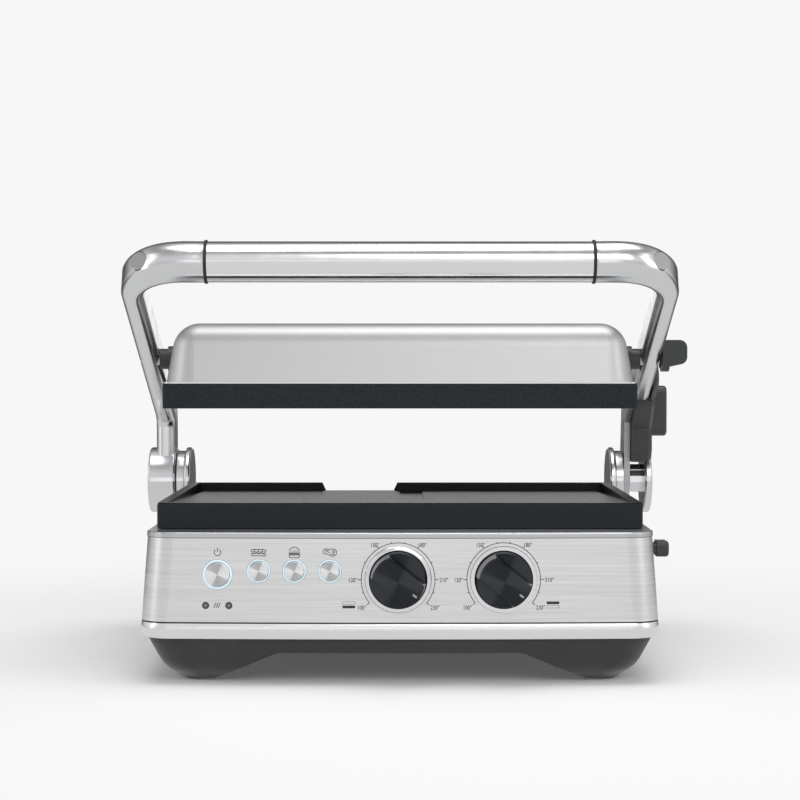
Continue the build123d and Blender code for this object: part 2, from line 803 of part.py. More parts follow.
with BuildPart() as lower_plate:
    with BuildSketch(plan(plate_bottom)):
        with Locations((0, (plate_front + plate_back) / 2)):
            RectangleRounded(plate_length, plate_depth, 3)
    extrude(amount=lower_plate_height)
    with BuildSketch(side(-inner_half)):
        Polygon(
            (plate_front, plate_top),
            (plate_back - rim_width, surface_back_z),
            (plate_back - rim_width, plate_top + 1),
            (plate_front, plate_top + 1),
            align=None,
        )
    extrude(amount=2 * inner_half, mode=Mode.SUBTRACT)
    with BuildSketch(side(0)) as gutter:
        Polygon(
            (plate_front + 14, plate_top - 0.3),
            (plate_back - rim_width, surface_back_z - gutter_depth),
            (plate_back - rim_width, plate_top + 1),
            (plate_front + 14, plate_top + 1),
            align=None,
        )
    for x in (-inner_half, inner_half - gutter_width):
        extrude(gutter.sketch.moved(Location((x, 0, 0))), amount=gutter_width, mode=Mode.SUBTRACT)
    with BuildSketch(plan(surface_back_z - gutter_depth)):
        with Locations((0, plate_back - rim_width - gutter_width / 2)):
            Rectangle(2 * inner_half, gutter_width)
    extrude(amount=lower_plate_height, mode=Mode.SUBTRACT)
    with BuildSketch(plan(plate_top - rim_step)):
        with Locations((0, plate_front + rim_start / 2)):
            Rectangle(plate_length, rim_start)
    extrude(amount=rim_step, mode=Mode.SUBTRACT)
    with BuildSketch(front(plate_back)):
        Polygon(
            (spout_left + 4, surface_back_z - gutter_depth),
            (spout_left, plate_top + 1),
            (spout_right, plate_top + 1),
            (spout_right - 4, surface_back_z - gutter_depth),
            align=None,
        )
    extrude(amount=rim_width, mode=Mode.SUBTRACT)
    with BuildSketch(side(spout_left + 5)):
        Polygon(
            (plate_back, surface_back_z - gutter_depth),
            (plate_back + 9, surface_back_z - gutter_depth - 4),
            (plate_back + 9, surface_back_z - gutter_depth - 6),
            (plate_back, surface_back_z - gutter_depth - 5),
            align=None,
        )
    extrude(amount=spout_right - spout_left - 10)
    with BuildSketch(plan(plate_bottom)):
        with Locations((0, (plate_front + plate_back) / 2)):
            RectangleRounded(plate_length - 2 * plate_skirt_wall, plate_depth - 2 * plate_skirt_wall, 6)
    extrude(amount=skirt_hollow, mode=Mode.SUBTRACT)
    with BuildSketch(plan(plate_bottom)):
        with Locations((half_plate - plate_skirt_wall + 1, release_y)):
            Rectangle(4, release_width)
    extrude(amount=skirt_hollow, mode=Mode.SUBTRACT)
finish(lower_plate.part, "lower_plate")

# ---------------------------------------------------------------- plate release, in the base's right side
latch_bar_z = release_z - 2
latch_bar_height = 3
latch_inner = latch_x - 22
hook_rise = plate_bottom + 4

with BuildPart() as base_release_button:
    release_outer = deck_half + release_reach
    with BuildSketch(side(half_plate - 1)):
        with Locations((release_y, release_z)):
            RectangleRounded(release_width, release_height, 2)
    extrude(amount=release_outer - half_plate)
    with BuildSketch(side(release_outer - release_cap_thickness)):
        with Locations((release_y, release_z)):
            cap_width = release_width + 2 * release_cap_margin
            RectangleRounded(cap_width, release_height + 2 * release_cap_margin, 4)
    extrude(amount=release_cap_thickness)
    fillet(base_release_button.faces().sort_by(Axis.X)[-1].edges(), 2.2)
finish(base_release_button.part, "base_release_button")

with BuildPart() as base_latch_bar:
    with BuildSketch(front(release_y + 5)):
        Polygon(
            (latch_inner, latch_bar_z),
            (half_plate - 1, latch_bar_z),
            (half_plate - 1, latch_bar_z + latch_bar_height),
            (latch_x + latch_thickness, latch_bar_z + latch_bar_height),
            (latch_x + latch_thickness, hook_rise - 2),
            (latch_x + latch_thickness + 2, hook_rise - 2),
            (latch_x + latch_thickness + 2, hook_rise),
            (latch_x, hook_rise),
            (latch_x, latch_bar_z + latch_bar_height),
            (latch_inner, latch_bar_z + latch_bar_height),
            align=None,
        )
    extrude(amount=10)
finish(base_latch_bar.part, "base_latch_bar")

# ---------------------------------------------------------------- hinge posts, rings, pins and cam
post_thickness = collar_inner - post_inner
post_foot_z = housing_top + 8
post_leg_half = 18
post_leg_top = hinge_z - hinge_pin_radius - 2.6
post_web_height = 12
collar_ring_radius = 24.5
collar_cap_outer = collar_inner + collar_cap_thickness
pin_reach = 4


def ring(x_low, x_high, radius, bore, soften):
    """A round disc about the hinge axis between two x places, with softened outer edges."""
    with BuildPart() as disc:
        with BuildSketch(hinge_side(x_high)):
            Circle(radius)
        extrude(amount=x_high - x_low)
        fillet(disc.edges().filter_by(GeomType.CIRCLE), soften)
        if bore:
            with BuildSketch(hinge_side(x_high)):
                Circle(bore)
            extrude(amount=x_high - x_low, mode=Mode.SUBTRACT)
    return disc.part


with BuildPart() as hinge_post_right:
    add(ring(collar_inner, collar_cap_outer, hinge_radius, hinge_pin_radius + pin_gap, 1.6))
    with BuildSketch(hinge_side(collar_inner)):
        with Locations((0, (post_foot_z + post_leg_top) / 2 - hinge_z)):
            Rectangle(2 * post_leg_half, post_leg_top - post_foot_z)
    extrude(amount=post_thickness)
    with BuildSketch(hinge_side(collar_cap_outer - 1)):
        with Locations((0, post_leg_top - hinge_z - post_web_height / 2)):
            Rectangle(post_leg_half, post_web_height)
    extrude(amount=post_thickness)
finish(hinge_post_right.part, "hinge_post_right")

with BuildPart() as hinge_post_left:
    mirror(hinge_post_right.part, about=middle)
finish(hinge_post_left.part, "hinge_post_left")

with BuildPart() as hinge_collar_right:
    add(ring(collar_cap_outer, collar_outer, collar_ring_radius, hinge_pin_radius + pin_gap, 1))
finish(hinge_collar_right.part, "hinge_collar_right")

with BuildPart() as hinge_collar_left:
    mirror(hinge_collar_right.part, about=middle)
finish(hinge_collar_left.part, "hinge_collar_left")

bracket_inner = collar_outer + 0.4
bracket_outer = bracket_inner + bracket_thickness
cam_inner = bracket_outer + 0.8
cam_outer = disc_outer - right_cap_thickness

with BuildPart() as hinge_pin_left:
    with BuildSketch(hinge_side(-collar_inner)):
        Circle(hinge_pin_radius)
    extrude(amount=disc_outer - collar_inner - pin_reach)
finish(hinge_pin_left.part, "hinge_pin_left")

with BuildPart() as hinge_pin_right:
    with BuildSketch(hinge_side(cam_outer)):
        Circle(hinge_pin_radius)
    extrude(amount=cam_outer - collar_inner)
finish(hinge_pin_right.part, "hinge_pin_right")

with BuildPart() as height_cam:
    with BuildSketch(hinge_side(cam_outer)):
        Circle(cam_radius - cam_steps)
        for step in range(cam_steps):
            reach = cam_radius - step
            turn = radians(62 - 22 * step)
            sweep_turn = radians(24)
            Polygon(
                (0, 0),
                (reach * cos(turn), reach * sin(turn)),
                (reach * cos(turn - sweep_turn), reach * sin(turn - sweep_turn)),
                align=None,
            )
    extrude(amount=cam_outer - cam_inner)
    with BuildSketch(hinge_side(cam_outer)):
        Circle(hinge_pin_radius + pin_gap)
    extrude(amount=cam_outer - cam_inner, mode=Mode.SUBTRACT)
finish(height_cam.part, "height_cam")

finish(ring(cam_outer, disc_outer, hinge_radius, 0, 1.8), "hinge_cap_right")

# ---------------------------------------------------------------- arms and handle
slope = radians(arm_slope)
arm_line = (cos(slope), sin(slope))
casting_start = handle_seal_x + seal_width / 2
bend_start = arm_middle - corner_radius
bar_end_u = handle_u - corner_radius * arm_line[0]
bar_end_v = handle_v - corner_radius * arm_line[1]
spigot_reach = 16
right_arm_end_u = 56
pivot_boss_face = arm_inner - fit_gap
plug_turn = 20
plug_bend_turn = 42
plug_depth = 3
plug_gap = 0.5


# Up along the arm, the point where the handle's axis starts to bend, and the bend's centre.
forward = Vector(0, -arm_line[0], arm_line[1])
handle_point = Vector(mid_x + bend_start, hinge_y - handle_u, hinge_z + handle_v)
bend_centre = handle_point - forward * corner_radius
casting_mouth = handle_point - Vector(bend_start - casting_start, 0, 0)
tube_edge = handle_radius - 0.4


def on_arm_line(u):
    """Height above the hinge axis of the arm's middle line at distance u."""
    return knee_v + (u - knee_u) * tan(slope)


def corner_casting():
    """The right corner: a round tube end that turns and flattens into the arm's bar."""
    with BuildPart() as casting:
        with BuildSketch(Plane(casting_mouth, x_dir=forward, z_dir=(1, 0, 0))):
            RectangleRounded(2 * handle_radius, 2 * handle_radius, tube_edge)
        for turn in (0, 22.5, 45, 67.5, 90):
            share = turn / 90
            blend = share * share * (3 - 2 * share)
            outward = forward * cos(radians(turn)) + Vector(1, 0, 0) * sin(radians(turn))
            along = Vector(1, 0, 0) * cos(radians(turn)) - forward * sin(radians(turn))
            width = 2 * handle_radius + (arm_width - 2 * handle_radius) * blend
            height = 2 * handle_radius + (arm_height - 2 * handle_radius) * blend
            edge = tube_edge + (arm_edge - tube_edge) * blend
            with BuildSketch(Plane(bend_centre + outward * corner_radius, x_dir=outward, z_dir=along)):
                RectangleRounded(width, height, edge)
        loft()
        with BuildSketch(Plane(casting_mouth, z_dir=(-1, 0, 0))):
            Circle(handle_radius - handle_wall - pin_gap)
        extrude(amount=spigot_reach)
    return casting.part


def plug_form(radius, depth, proud):
    """The screw plug's disc on the right corner, facing forward and a little outward."""
    outward = forward * cos(radians(plug_bend_turn)) + Vector(1, 0, 0) * sin(radians(plug_bend_turn))
    facing = forward * cos(radians(plug_turn)) + Vector(1, 0, 0) * sin(radians(plug_turn))
    on_bend = bend_centre + outward * corner_radius
    with BuildPart() as plug:
        with BuildSketch(Plane(on_bend + facing * (handle_radius - 2 - depth), z_dir=facing)):
            Circle(radius)
        extrude(amount=depth + proud)
    return plug.part


def pivot_hole(x_from, x_to, radius):
    """A cylinder along the lid's pivot axis."""
    with BuildPart() as hole:
        with BuildSketch(hinge_side(x_to)):
            with Locations((pivot_u, pivot_v)):
                Circle(radius)
        extrude(amount=x_to - x_from)
    return hole.part


def arm_casting(start, knee):
    """A right arm: bar from its start, round the knee if it has one, up to the corner casting."""
    with BuildPart() as casting:
        with BuildLine(hinge_side(arm_middle)) as route:
            if knee:
                FilletPolyline(start, knee, (bar_end_u, bar_end_v), radius=knee_radius)
            else:
                Line(start, (bar_end_u, bar_end_v))
        with BuildSketch(Plane(route.line @ 0, x_dir=(1, 0, 0), z_dir=route.line % 0)):
            RectangleRounded(arm_width, arm_height, arm_edge)
        sweep(path=route.wire())
        add(corner_casting())
        add(plug_form(plug_radius + plug_gap, plug_depth, arm_height), mode=Mode.SUBTRACT)
        add(pivot_hole(arm_inner, arm_outer, pivot_pin_radius + pin_gap), mode=Mode.SUBTRACT)
    return casting.part


def hull_bar(x_low, x_high, first, first_radius, second, second_radius):
    """A flat link between two round ends, upright between two x places."""
    with BuildPart() as link:
        with BuildSketch(hinge_side(x_high)):
            with Locations(first):
                Circle(first_radius)
            with Locations(second):
                Circle(second_radius)
            make_hull()
        extrude(amount=x_high - x_low)
    return link.part


with BuildPart() as left_arm:
    mirror(arm_casting((knee_u, 0), (knee_u, knee_v)), about=middle)
    add(ring(-disc_outer, -disc_inner, hinge_radius, 0, 1.8))
    with BuildSketch(hinge_side(-disc_inner)):
        Circle(hinge_pin_radius + pin_gap)
    extrude(amount=disc_outer - disc_inner - pin_reach + fit_gap, mode=Mode.SUBTRACT)
finish(left_arm.part, "left_arm")

tongue_end = (104, on_arm_line(104) - 3)
tongue_radius = 9
bracket_knee = (knee_u + 3, knee_v - 1)
bracket_knee_radius = 13
bracket_eye_radius = 18
arm_screw_places = [(u, on_arm_line(u) - 2) for u in (72, 98)]
arm_screw_head = 3.6
arm_screw_radius = 1.9

with BuildPart() as right_arm:
    add(arm_casting((right_arm_end_u, on_arm_line(right_arm_end_u)), None))
    pocket = hull_bar(
        bracket_inner - 1,
        bracket_outer + pin_gap,
        bracket_knee,
        bracket_knee_radius + fit_gap,
        tongue_end,
        tongue_radius + fit_gap,
    )
    add(pocket, mode=Mode.SUBTRACT)
    with BuildSketch(hinge_side(arm_outer - 3)):
        with Locations(*arm_screw_places):
            Circle(arm_screw_radius + pin_gap)
    extrude(amount=arm_width - 3, mode=Mode.SUBTRACT)
finish(right_arm.part, "right_arm")

with BuildPart() as hinge_bracket:
    knee = (bracket_knee, bracket_knee_radius)
    add(hull_bar(bracket_inner, bracket_outer, (0, 0), bracket_eye_radius, *knee))
    add(hull_bar(bracket_inner, bracket_outer, *knee, tongue_end, tongue_radius))
    with BuildSketch(hinge_side(bracket_outer)):
        Circle(hinge_pin_radius + pin_gap)
        with Locations(*arm_screw_places):
            Circle(arm_screw_radius + pin_gap)
        with Locations((knee_u - 2, 30), (knee_u + 5, 46)):
            SlotOverall(9, 4, rotation=80)
    extrude(amount=bracket_thickness, mode=Mode.SUBTRACT)
finish(hinge_bracket.part, "hinge_bracket")

with BuildPart() as arm_screws:
    with BuildSketch(hinge_side(arm_outer - 3.5)):
        with Locations(*arm_screw_places):
            Circle(arm_screw_radius)
    extrude(amount=arm_outer - 3.5 - bracket_inner)
    with BuildSketch(hinge_side(bracket_inner)):
        with Locations(*arm_screw_places):
            Circle(arm_screw_head)
    extrude(amount=2.2)
    fillet(arm_screws.edges().filter_by(GeomType.CIRCLE).group_by(Axis.X)[0], 0.9)
finish(arm_screws.part, "arm_screws")

with BuildPart() as handle_tube:
    with BuildSketch(hinge_side(casting_start - seal_width)):
        with Locations((handle_u, handle_v)):
            Circle(handle_radius)
            Circle(handle_radius - handle_wall, mode=Mode.SUBTRACT)
    extrude(amount=2 * (casting_start - seal_width))
finish(handle_tube.part, "handle_tube")

with BuildPart() as handle_seals:
    for x_high in (casting_start, seal_width - casting_start):
        with BuildSketch(hinge_side(x_high)):
            with Locations((handle_u, handle_v)):
                Circle(seal_radius)
                Circle(handle_radius - handle_wall + pin_gap, mode=Mode.SUBTRACT)
        extrude(amount=seal_width)
    rims = handle_seals.edges().filter_by(GeomType.CIRCLE)
    fillet(rims.filter_by(lambda edge: edge.radius > handle_radius), 0.9)
finish(handle_seals.part, "handle_seals")

with BuildPart() as handle_plugs:
    add(plug_form(plug_radius, plug_depth - 0.4, 0.4))
    fillet(handle_plugs.edges().filter_by(GeomType.CIRCLE).sort_by(Axis.Y)[0], 0.5)
    mirror(about=middle)
finish(handle_plugs.part, "handle_plugs")

# ---------------------------------------------------------------- height stop on the right arm
stop_inner = bracket_outer + 0.4
stop_outer = arm_outer + housing_reach
cheek_inner = arm_outer + fit_gap
channel_inner = cam_inner + 0.6
channel_outer = arm_outer - 1.4
channel_back_u = -8
channel_front_u = 17
slot_low_v = 48
stem_height = 14
stem_depth = 8
stem_u = 6
tab_gap = 1.6
tab_thickness = 12.8
tab_depth = 20

with BuildPart() as height_stop_housing:
    with BuildSketch(hinge_side(stop_outer)):
        Polygon(
            (-15, 24),
            (-9, stop_bottom_v),
            (28, stop_bottom_v),
            (34, 25),
            (34, 44),
            (right_arm_end_u - 2, on_arm_line(right_arm_end_u) - arm_height / 2 - 4),
            (right_arm_end_u - 2, on_arm_line(right_arm_end_u) + arm_height / 2 - 2),
            (8, 79),
            (-8, 68),
            (-15, 54),
            align=None,
        )
    extrude(amount=stop_outer - stop_inner)
    with BuildSketch(hinge_side(stop_outer)):
        with Locations((right_arm_end_u + 12, on_arm_line(right_arm_end_u + 12)), (20, on_arm_line(20))):
            Circle(arm_height / 2 - 2)
        make_hull()
    extrude(amount=stop_outer - cheek_inner)
    chamfer(height_stop_housing.faces().sort_by(Axis.X)[-1].outer_wire().edges(), 3)
    add(arm_casting((right_arm_end_u - fit_gap, on_arm_line(right_arm_end_u)), None), mode=Mode.SUBTRACT)
    bracket_room = hull_bar(
        bracket_inner,
        bracket_outer + pin_gap,
        bracket_knee,
        bracket_knee_radius + 1,
        tongue_end,
        tongue_radius + 1,
    )
    add(bracket_room, mode=Mode.SUBTRACT)
    with BuildSketch(hinge_side(disc_outer)):
        Circle(hinge_radius + travel_gap)
    extrude(amount=disc_outer - cam_outer + travel_gap, mode=Mode.SUBTRACT)
    with BuildSketch(hinge_side(channel_outer)):
        with Locations(((channel_back_u + channel_front_u) / 2, stop_bottom_v + 34)):
            Rectangle(channel_front_u - channel_back_u, 84)
    extrude(amount=channel_outer - channel_inner, mode=Mode.SUBTRACT)
    with BuildSketch(hinge_side(stop_outer)):
        with Locations((stem_u, slot_low_v + (stem_height + slider_travel) / 2)):
            Rectangle(stem_depth + 2 * fit_gap, stem_height + slider_travel + 2 * travel_gap)
    extrude(amount=stop_outer - channel_inner, mode=Mode.SUBTRACT)
finish(height_stop_housing.part, "height_stop_housing")

with BuildPart() as height_slider:
    slide_u = (channel_back_u + channel_front_u) / 2
    block_low = cam_radius + 1.2
    with BuildSketch(hinge_side(channel_outer - fit_gap)):
        with Locations((slide_u, (block_low + slot_low_v + stem_height) / 2)):
            Rectangle(channel_front_u - channel_back_u - 2 * fit_gap, slot_low_v + stem_height - block_low)
    extrude(amount=channel_outer - channel_inner - 2 * fit_gap)
    with BuildSketch(hinge_side(stop_outer + tab_gap)):
        with Locations((stem_u, slot_low_v + stem_height / 2)):
            Rectangle(stem_depth, stem_height)
    extrude(amount=stop_outer + tab_gap - channel_outer + fit_gap)
    with BuildSketch(hinge_side(stop_outer + tab_gap + tab_thickness)):
        with Locations((stem_u, tab_bottom_v + tab_length / 2)):
            RectangleRounded(tab_depth, tab_length, 6)
    extrude(amount=tab_thickness)
    fillet(height_slider.faces().sort_by(Axis.X)[-1].edges(), 2.4)
finish(height_slider.part, "height_slider")

# ---------------------------------------------------------------- lid: plate, frame, cover and pivots
band_wall = 4
upper_web = 4
rib_root = 3.4
rib_margin = 10
lid_middle = (lid_front + lid_back) / 2

with BuildPart() as upper_plate:
    with BuildSketch(plan(upper_bottom)):
        with Locations((0, lid_middle)):
            RectangleRounded(plate_length, plate_depth, 3)
    extrude(amount=upper_plate_height)
    groove_count = int((plate_length - 2 * rib_margin) / rib_pitch)
    with BuildSketch(front(lid_back - rib_margin)):
        with Locations((0, upper_bottom)):
            with GridLocations(rib_pitch, 1, groove_count, 1):
                Polygon(
                    (-rib_pitch / 2 + 1.8, -1),
                    (rib_pitch / 2 - 1.8, -1),
                    (rib_root / 2 + 0.6, rib_depth),
                    (-rib_root / 2 - 0.6, rib_depth),
                    align=None,
                )
    extrude(amount=plate_depth - 2 * rib_margin, mode=Mode.SUBTRACT)
    with BuildSketch(plan(upper_bottom + rib_depth + upper_web)):
        with Locations((0, lid_middle)):
            RectangleRounded(plate_length - 2 * band_wall, plate_depth - 2 * band_wall, 5)
    extrude(amount=upper_plate_height, mode=Mode.SUBTRACT)
finish(upper_plate.part, "upper_plate")

with BuildPart() as lid_frame:
    with BuildSketch(plan(upper_top)):
        with Locations((0, lid_middle)):
            RectangleRounded(plate_length - 0.4, plate_depth - 0.4, 6)
            RectangleRounded(plate_length - 40, plate_depth - 40, 12, mode=Mode.SUBTRACT)
    extrude(amount=lid_frame_thickness)
finish(lid_frame.part, "lid_frame")


def cover_form(wall):
    """The lid cover's outer form, shrunk by the wall."""
    inset = 2 * (cover_inset + wall)
    with BuildPart() as form:
        with BuildSketch(plan(cover_bottom)) as base:
            with Locations((0, lid_middle)):
                Rectangle(plate_length - inset, plate_depth - inset)
            fillet(base.vertices(), cover_corner - wall)
        extrude(amount=cover_rise - wall, taper=cover_slope)
        fillet(form.faces().sort_by(Axis.Z)[-1].edges(), cover_top_radius - wall)
    return form.part


crossbar_height = 18
crossbar_z = pivot_z - crossbar_height / 2
crossbar_depth = 24
crossbar_half = half_plate - 16
flange_radius = 10
flange_outer = arm_inner - 6.6

with BuildPart() as lid_cover:
    add(cover_form(0))
    add(cover_form(cover_wall), mode=Mode.SUBTRACT)
    add(pivot_hole(crossbar_half, arm_inner, pivot_boss_radius + button_gap), mode=Mode.SUBTRACT)
    add(pivot_hole(-arm_inner, -crossbar_half, pivot_boss_radius + button_gap), mode=Mode.SUBTRACT)
finish(lid_cover.part, "lid_cover")

with BuildPart() as lid_pivot_bosses:
    add(pivot_hole(crossbar_half, pivot_boss_face, pivot_boss_radius))
    add(pivot_hole(half_plate - 1, flange_outer, flange_radius))
    add(pivot_hole(crossbar_half, arm_inner, pivot_pin_radius + pin_gap), mode=Mode.SUBTRACT)
    mirror(about=middle)
finish(lid_pivot_bosses.part, "lid_pivot_bosses")

with BuildPart() as lid_pivot_pins:
    add(pivot_hole(crossbar_half - 22, arm_outer - 1, pivot_pin_radius))
    mirror(about=middle)
finish(lid_pivot_pins.part, "lid_pivot_pins")

with BuildPart() as lid_crossbar:
    with BuildSketch(plan(crossbar_z)):
        with Locations((0, pivot_y)):
            Rectangle(2 * crossbar_half, crossbar_depth)
    extrude(amount=crossbar_height)
    with BuildSketch(plan(crossbar_z)):
        with Locations((0, pivot_y)):
            Rectangle(2 * crossbar_half - 60, crossbar_depth - 4)
    extrude(amount=crossbar_height - 2, mode=Mode.SUBTRACT)
    for x in (crossbar_half - 22, -crossbar_half):
        add(pivot_hole(x, x + 22, pivot_pin_radius + pin_gap), mode=Mode.SUBTRACT)
finish(lid_crossbar.part, "lid_crossbar")

with BuildPart() as upper_reflector:
    with BuildSketch(plan(cover_bottom)):
        with Locations((0, lid_middle)):
            RectangleRounded(plate_length - 26, plate_depth - 26, 12)
    extrude(amount=crossbar_z - cover_bottom)
    with BuildSketch(plan(cover_bottom)):
        with Locations((0, lid_middle)):
            RectangleRounded(plate_length - 26 - 2 * pan_wall, plate_depth - 26 - 2 * pan_wall, 11)
    extrude(amount=crossbar_z - cover_bottom - pan_wall, mode=Mode.SUBTRACT)
finish(upper_reflector.part, "upper_reflector")

upper_element_z = upper_bottom + rib_depth + upper_web + element_radius
finish(heating_element(upper_element_z, lid_middle, plate_depth), "upper_heating_element")

with BuildPart() as upper_sensor:
    with BuildSketch(plan(upper_bottom + rib_depth + upper_web)):
        with Locations((0, lid_middle)):
            Circle(sensor_radius)
    extrude(amount=crossbar_z - pan_wall - upper_bottom - rib_depth - upper_web)
finish(upper_sensor.part, "upper_sensor")

# ---------------------------------------------------------------- lid lock lever at the right pivot
lever_hub_radius = 10
lever_gap = 0.6
lever_top = pivot_z + 14.8
paddle_depth = 26

with BuildPart() as lid_lock_lever:
    with BuildSketch(hinge_side(arm_outer + lever_gap + 6)):
        with Locations((pivot_u, pivot_v)):
            Circle(lever_hub_radius)
    extrude(amount=6)
    with BuildSketch(front(pivot_y + paddle_depth / 2)):
        Polygon(
            (arm_outer + lever_gap, lever_top),
            (lever_outer, lever_top),
            (lever_outer, lever_top - lever_height + 2),
            (arm_outer + lever_gap, lever_top - lever_height - 2),
            align=None,
        )
    extrude(amount=paddle_depth)
    fillet(lid_lock_lever.edges().filter_by(Axis.Y).group_by(Axis.X)[-1], 6)
finish(lid_lock_lever.part, "lid_lock_lever")
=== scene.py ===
"""Contact grill: flat lower plate on a control base, ribbed upper plate on swing arms."""
import math

import bpy
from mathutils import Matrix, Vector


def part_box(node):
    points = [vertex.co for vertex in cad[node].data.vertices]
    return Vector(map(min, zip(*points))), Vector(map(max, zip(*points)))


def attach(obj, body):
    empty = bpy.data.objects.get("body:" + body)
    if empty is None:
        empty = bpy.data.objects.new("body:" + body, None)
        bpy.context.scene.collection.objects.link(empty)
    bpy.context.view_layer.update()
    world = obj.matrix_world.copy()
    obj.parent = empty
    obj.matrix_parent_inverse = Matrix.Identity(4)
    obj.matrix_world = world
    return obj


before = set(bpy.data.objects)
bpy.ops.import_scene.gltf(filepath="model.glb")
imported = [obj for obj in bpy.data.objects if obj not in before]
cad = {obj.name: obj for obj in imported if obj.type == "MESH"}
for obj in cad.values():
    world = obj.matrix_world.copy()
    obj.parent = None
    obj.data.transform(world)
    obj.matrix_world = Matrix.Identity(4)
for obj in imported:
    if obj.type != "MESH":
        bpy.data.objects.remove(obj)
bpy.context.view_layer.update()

# Studio. The grill stands on a pale floor in a pale room. Broad soft lights hang over it, in front
# and at both sides, and the room behind it is darker than it looks, so polished metal gets dark edges.
studio_white = (0.93, 0.93, 0.935)
panel_low, panel_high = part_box("body_panel")
panel_middle = (panel_low.x + panel_high.x) / 2
camera_height = 0.229
camera_distance = 1.58
camera_tilt = 1.2
camera_lens = 92.16
camera_sensor = 36
floor_radius = 9
# A Mix node's two colour inputs and its colour output, by number.
mix_first, mix_second, mix_result = 6, 7, 2


def socket_values(node, **values):
    """Set a node's sockets, named with underscores for spaces."""
    for name, value in values.items():
        node.inputs[name.replace("_", " ")].default_value = value


bpy.ops.object.select_all(action="DESELECT")
bpy.ops.object.camera_add(
    location=(panel_middle, -camera_distance, camera_height),
    rotation=(math.radians(90 - camera_tilt), 0, 0),
)
camera = bpy.context.object
camera.data.lens = camera_lens
camera.data.sensor_width = camera_sensor
bpy.context.scene.camera = camera

bpy.ops.mesh.primitive_circle_add(vertices=64, radius=floor_radius, fill_type="NGON", location=(0, 0, 0))
floor = bpy.context.object
floor.name = "studio_floor"
floor_paint = bpy.data.materials.new("pale_floor")
floor_paint.use_nodes = True
floor_tree = floor_paint.node_tree
floor_shader = floor_tree.nodes["Principled BSDF"]
socket_values(floor_shader, Base_Color=(0.90, 0.90, 0.90, 1), Roughness=0.8, Specular_IOR_Level=0.0)
socket_values(floor_shader, Emission_Color=(*studio_white, 1), Emission_Strength=0.06)
floor_glow = floor_tree.nodes.new("ShaderNodeEmission")
socket_values(floor_glow, Color=(*studio_white, 1), Strength=1.0)
mirrored_floor = floor_tree.nodes.new("ShaderNodeEmission")
floor_place = floor_tree.nodes.new("ShaderNodeTexCoord")
floor_reach = floor_tree.nodes.new("ShaderNodeVectorMath")
floor_reach.operation = "LENGTH"
floor_tree.links.new(floor_place.outputs["Object"], floor_reach.inputs[0])
fade = floor_tree.nodes.new("ShaderNodeMapRange")
fade.interpolation_type = "SMOOTHSTEP"
floor_tree.links.new(floor_reach.outputs["Value"], fade.inputs["Value"])
socket_values(fade, From_Min=0.24, From_Max=0.85, To_Min=0.0, To_Max=1.0)
falloff = floor_tree.nodes.new("ShaderNodeMapRange")
falloff.interpolation_type = "SMOOTHSTEP"
floor_depth = floor_tree.nodes.new("ShaderNodeSeparateXYZ")
floor_tree.links.new(floor_place.outputs["Object"], floor_depth.inputs[0])
floor_tree.links.new(floor_depth.outputs["Y"], falloff.inputs["Value"])
socket_values(falloff, From_Min=0.2, From_Max=0.9, To_Min=0.72, To_Max=0.10)
floor_tree.links.new(falloff.outputs["Result"], mirrored_floor.inputs["Strength"])
floor_ray = floor_tree.nodes.new("ShaderNodeLightPath")
near_or_far = floor_tree.nodes.new("ShaderNodeMixShader")
floor_tree.links.new(fade.outputs["Result"], near_or_far.inputs[0])
floor_tree.links.new(floor_shader.outputs[0], near_or_far.inputs[1])
floor_tree.links.new(floor_glow.outputs[0], near_or_far.inputs[2])
floor_choice = floor_tree.nodes.new("ShaderNodeMixShader")
floor_tree.links.new(floor_ray.outputs["Is Glossy Ray"], floor_choice.inputs[0])
floor_tree.links.new(near_or_far.outputs[0], floor_choice.inputs[1])
floor_tree.links.new(mirrored_floor.outputs[0], floor_choice.inputs[2])
floor_output = floor_tree.nodes["Material Output"]
floor_tree.links.new(floor_choice.outputs[0], floor_output.inputs["Surface"])
floor.data.materials.append(floor_paint)


def softbox(name, place, aim, width, height, power):
    """One broad area light aimed at a point."""
    bpy.ops.object.light_add(type="AREA", location=place)
    lamp = bpy.context.object
    lamp.name = name
    lamp.data.shape = "RECTANGLE"
    lamp.data.size = width
    lamp.data.size_y = height
    lamp.data.energy = power
    lamp.visible_camera = False
    facing = Vector(aim) - Vector(place)
    lamp.rotation_euler = facing.to_track_quat("-Z", "Y").to_euler()


softbox("overhead_softbox", (0.1, -0.15, 1.9), (0, 0, 0.1), 1.7, 1.1, 14)
softbox("front_softbox", (0.6, -2.2, 1.5), (0, 0, 0.1), 1.4, 1.0, 9)
softbox("left_strip", (-1.6, -0.6, 0.7), (0, 0, 0.15), 0.5, 1.3, 2.5)
softbox("right_strip", (1.6, -0.8, 0.8), (0, 0, 0.15), 0.6, 1.3, 3.5)

world = bpy.data.worlds.new("pale_room")
bpy.context.scene.world = world
world.use_nodes = True
room = world.node_tree
room.nodes.clear()
where = room.nodes.new("ShaderNodeTexCoord")
split = room.nodes.new("ShaderNodeSeparateXYZ")
room.links.new(where.outputs["Generated"], split.inputs[0])
height_ramp = room.nodes.new("ShaderNodeValToRGB")
room.links.new(split.outputs["Z"], height_ramp.inputs[0])
stops = height_ramp.color_ramp.elements
stops[0].position = 0.0
stops[0].color = (0.55, 0.55, 0.555, 1)
stops[1].position = 1.0
stops[1].color = (0.8, 0.8, 0.805, 1)
for position, grey in ((0.10, 0.66), (0.35, 0.74), (0.6, 0.62), (0.8, 0.3), (0.9, 0.62)):
    stop = height_ramp.color_ramp.elements.new(position)
    stop.color = (grey, grey, grey * 1.01, 1)
behind = room.nodes.new("ShaderNodeMapRange")
room.links.new(split.outputs["Y"], behind.inputs["Value"])
socket_values(behind, From_Min=0.45, From_Max=0.85, To_Min=1.0, To_Max=0.10)
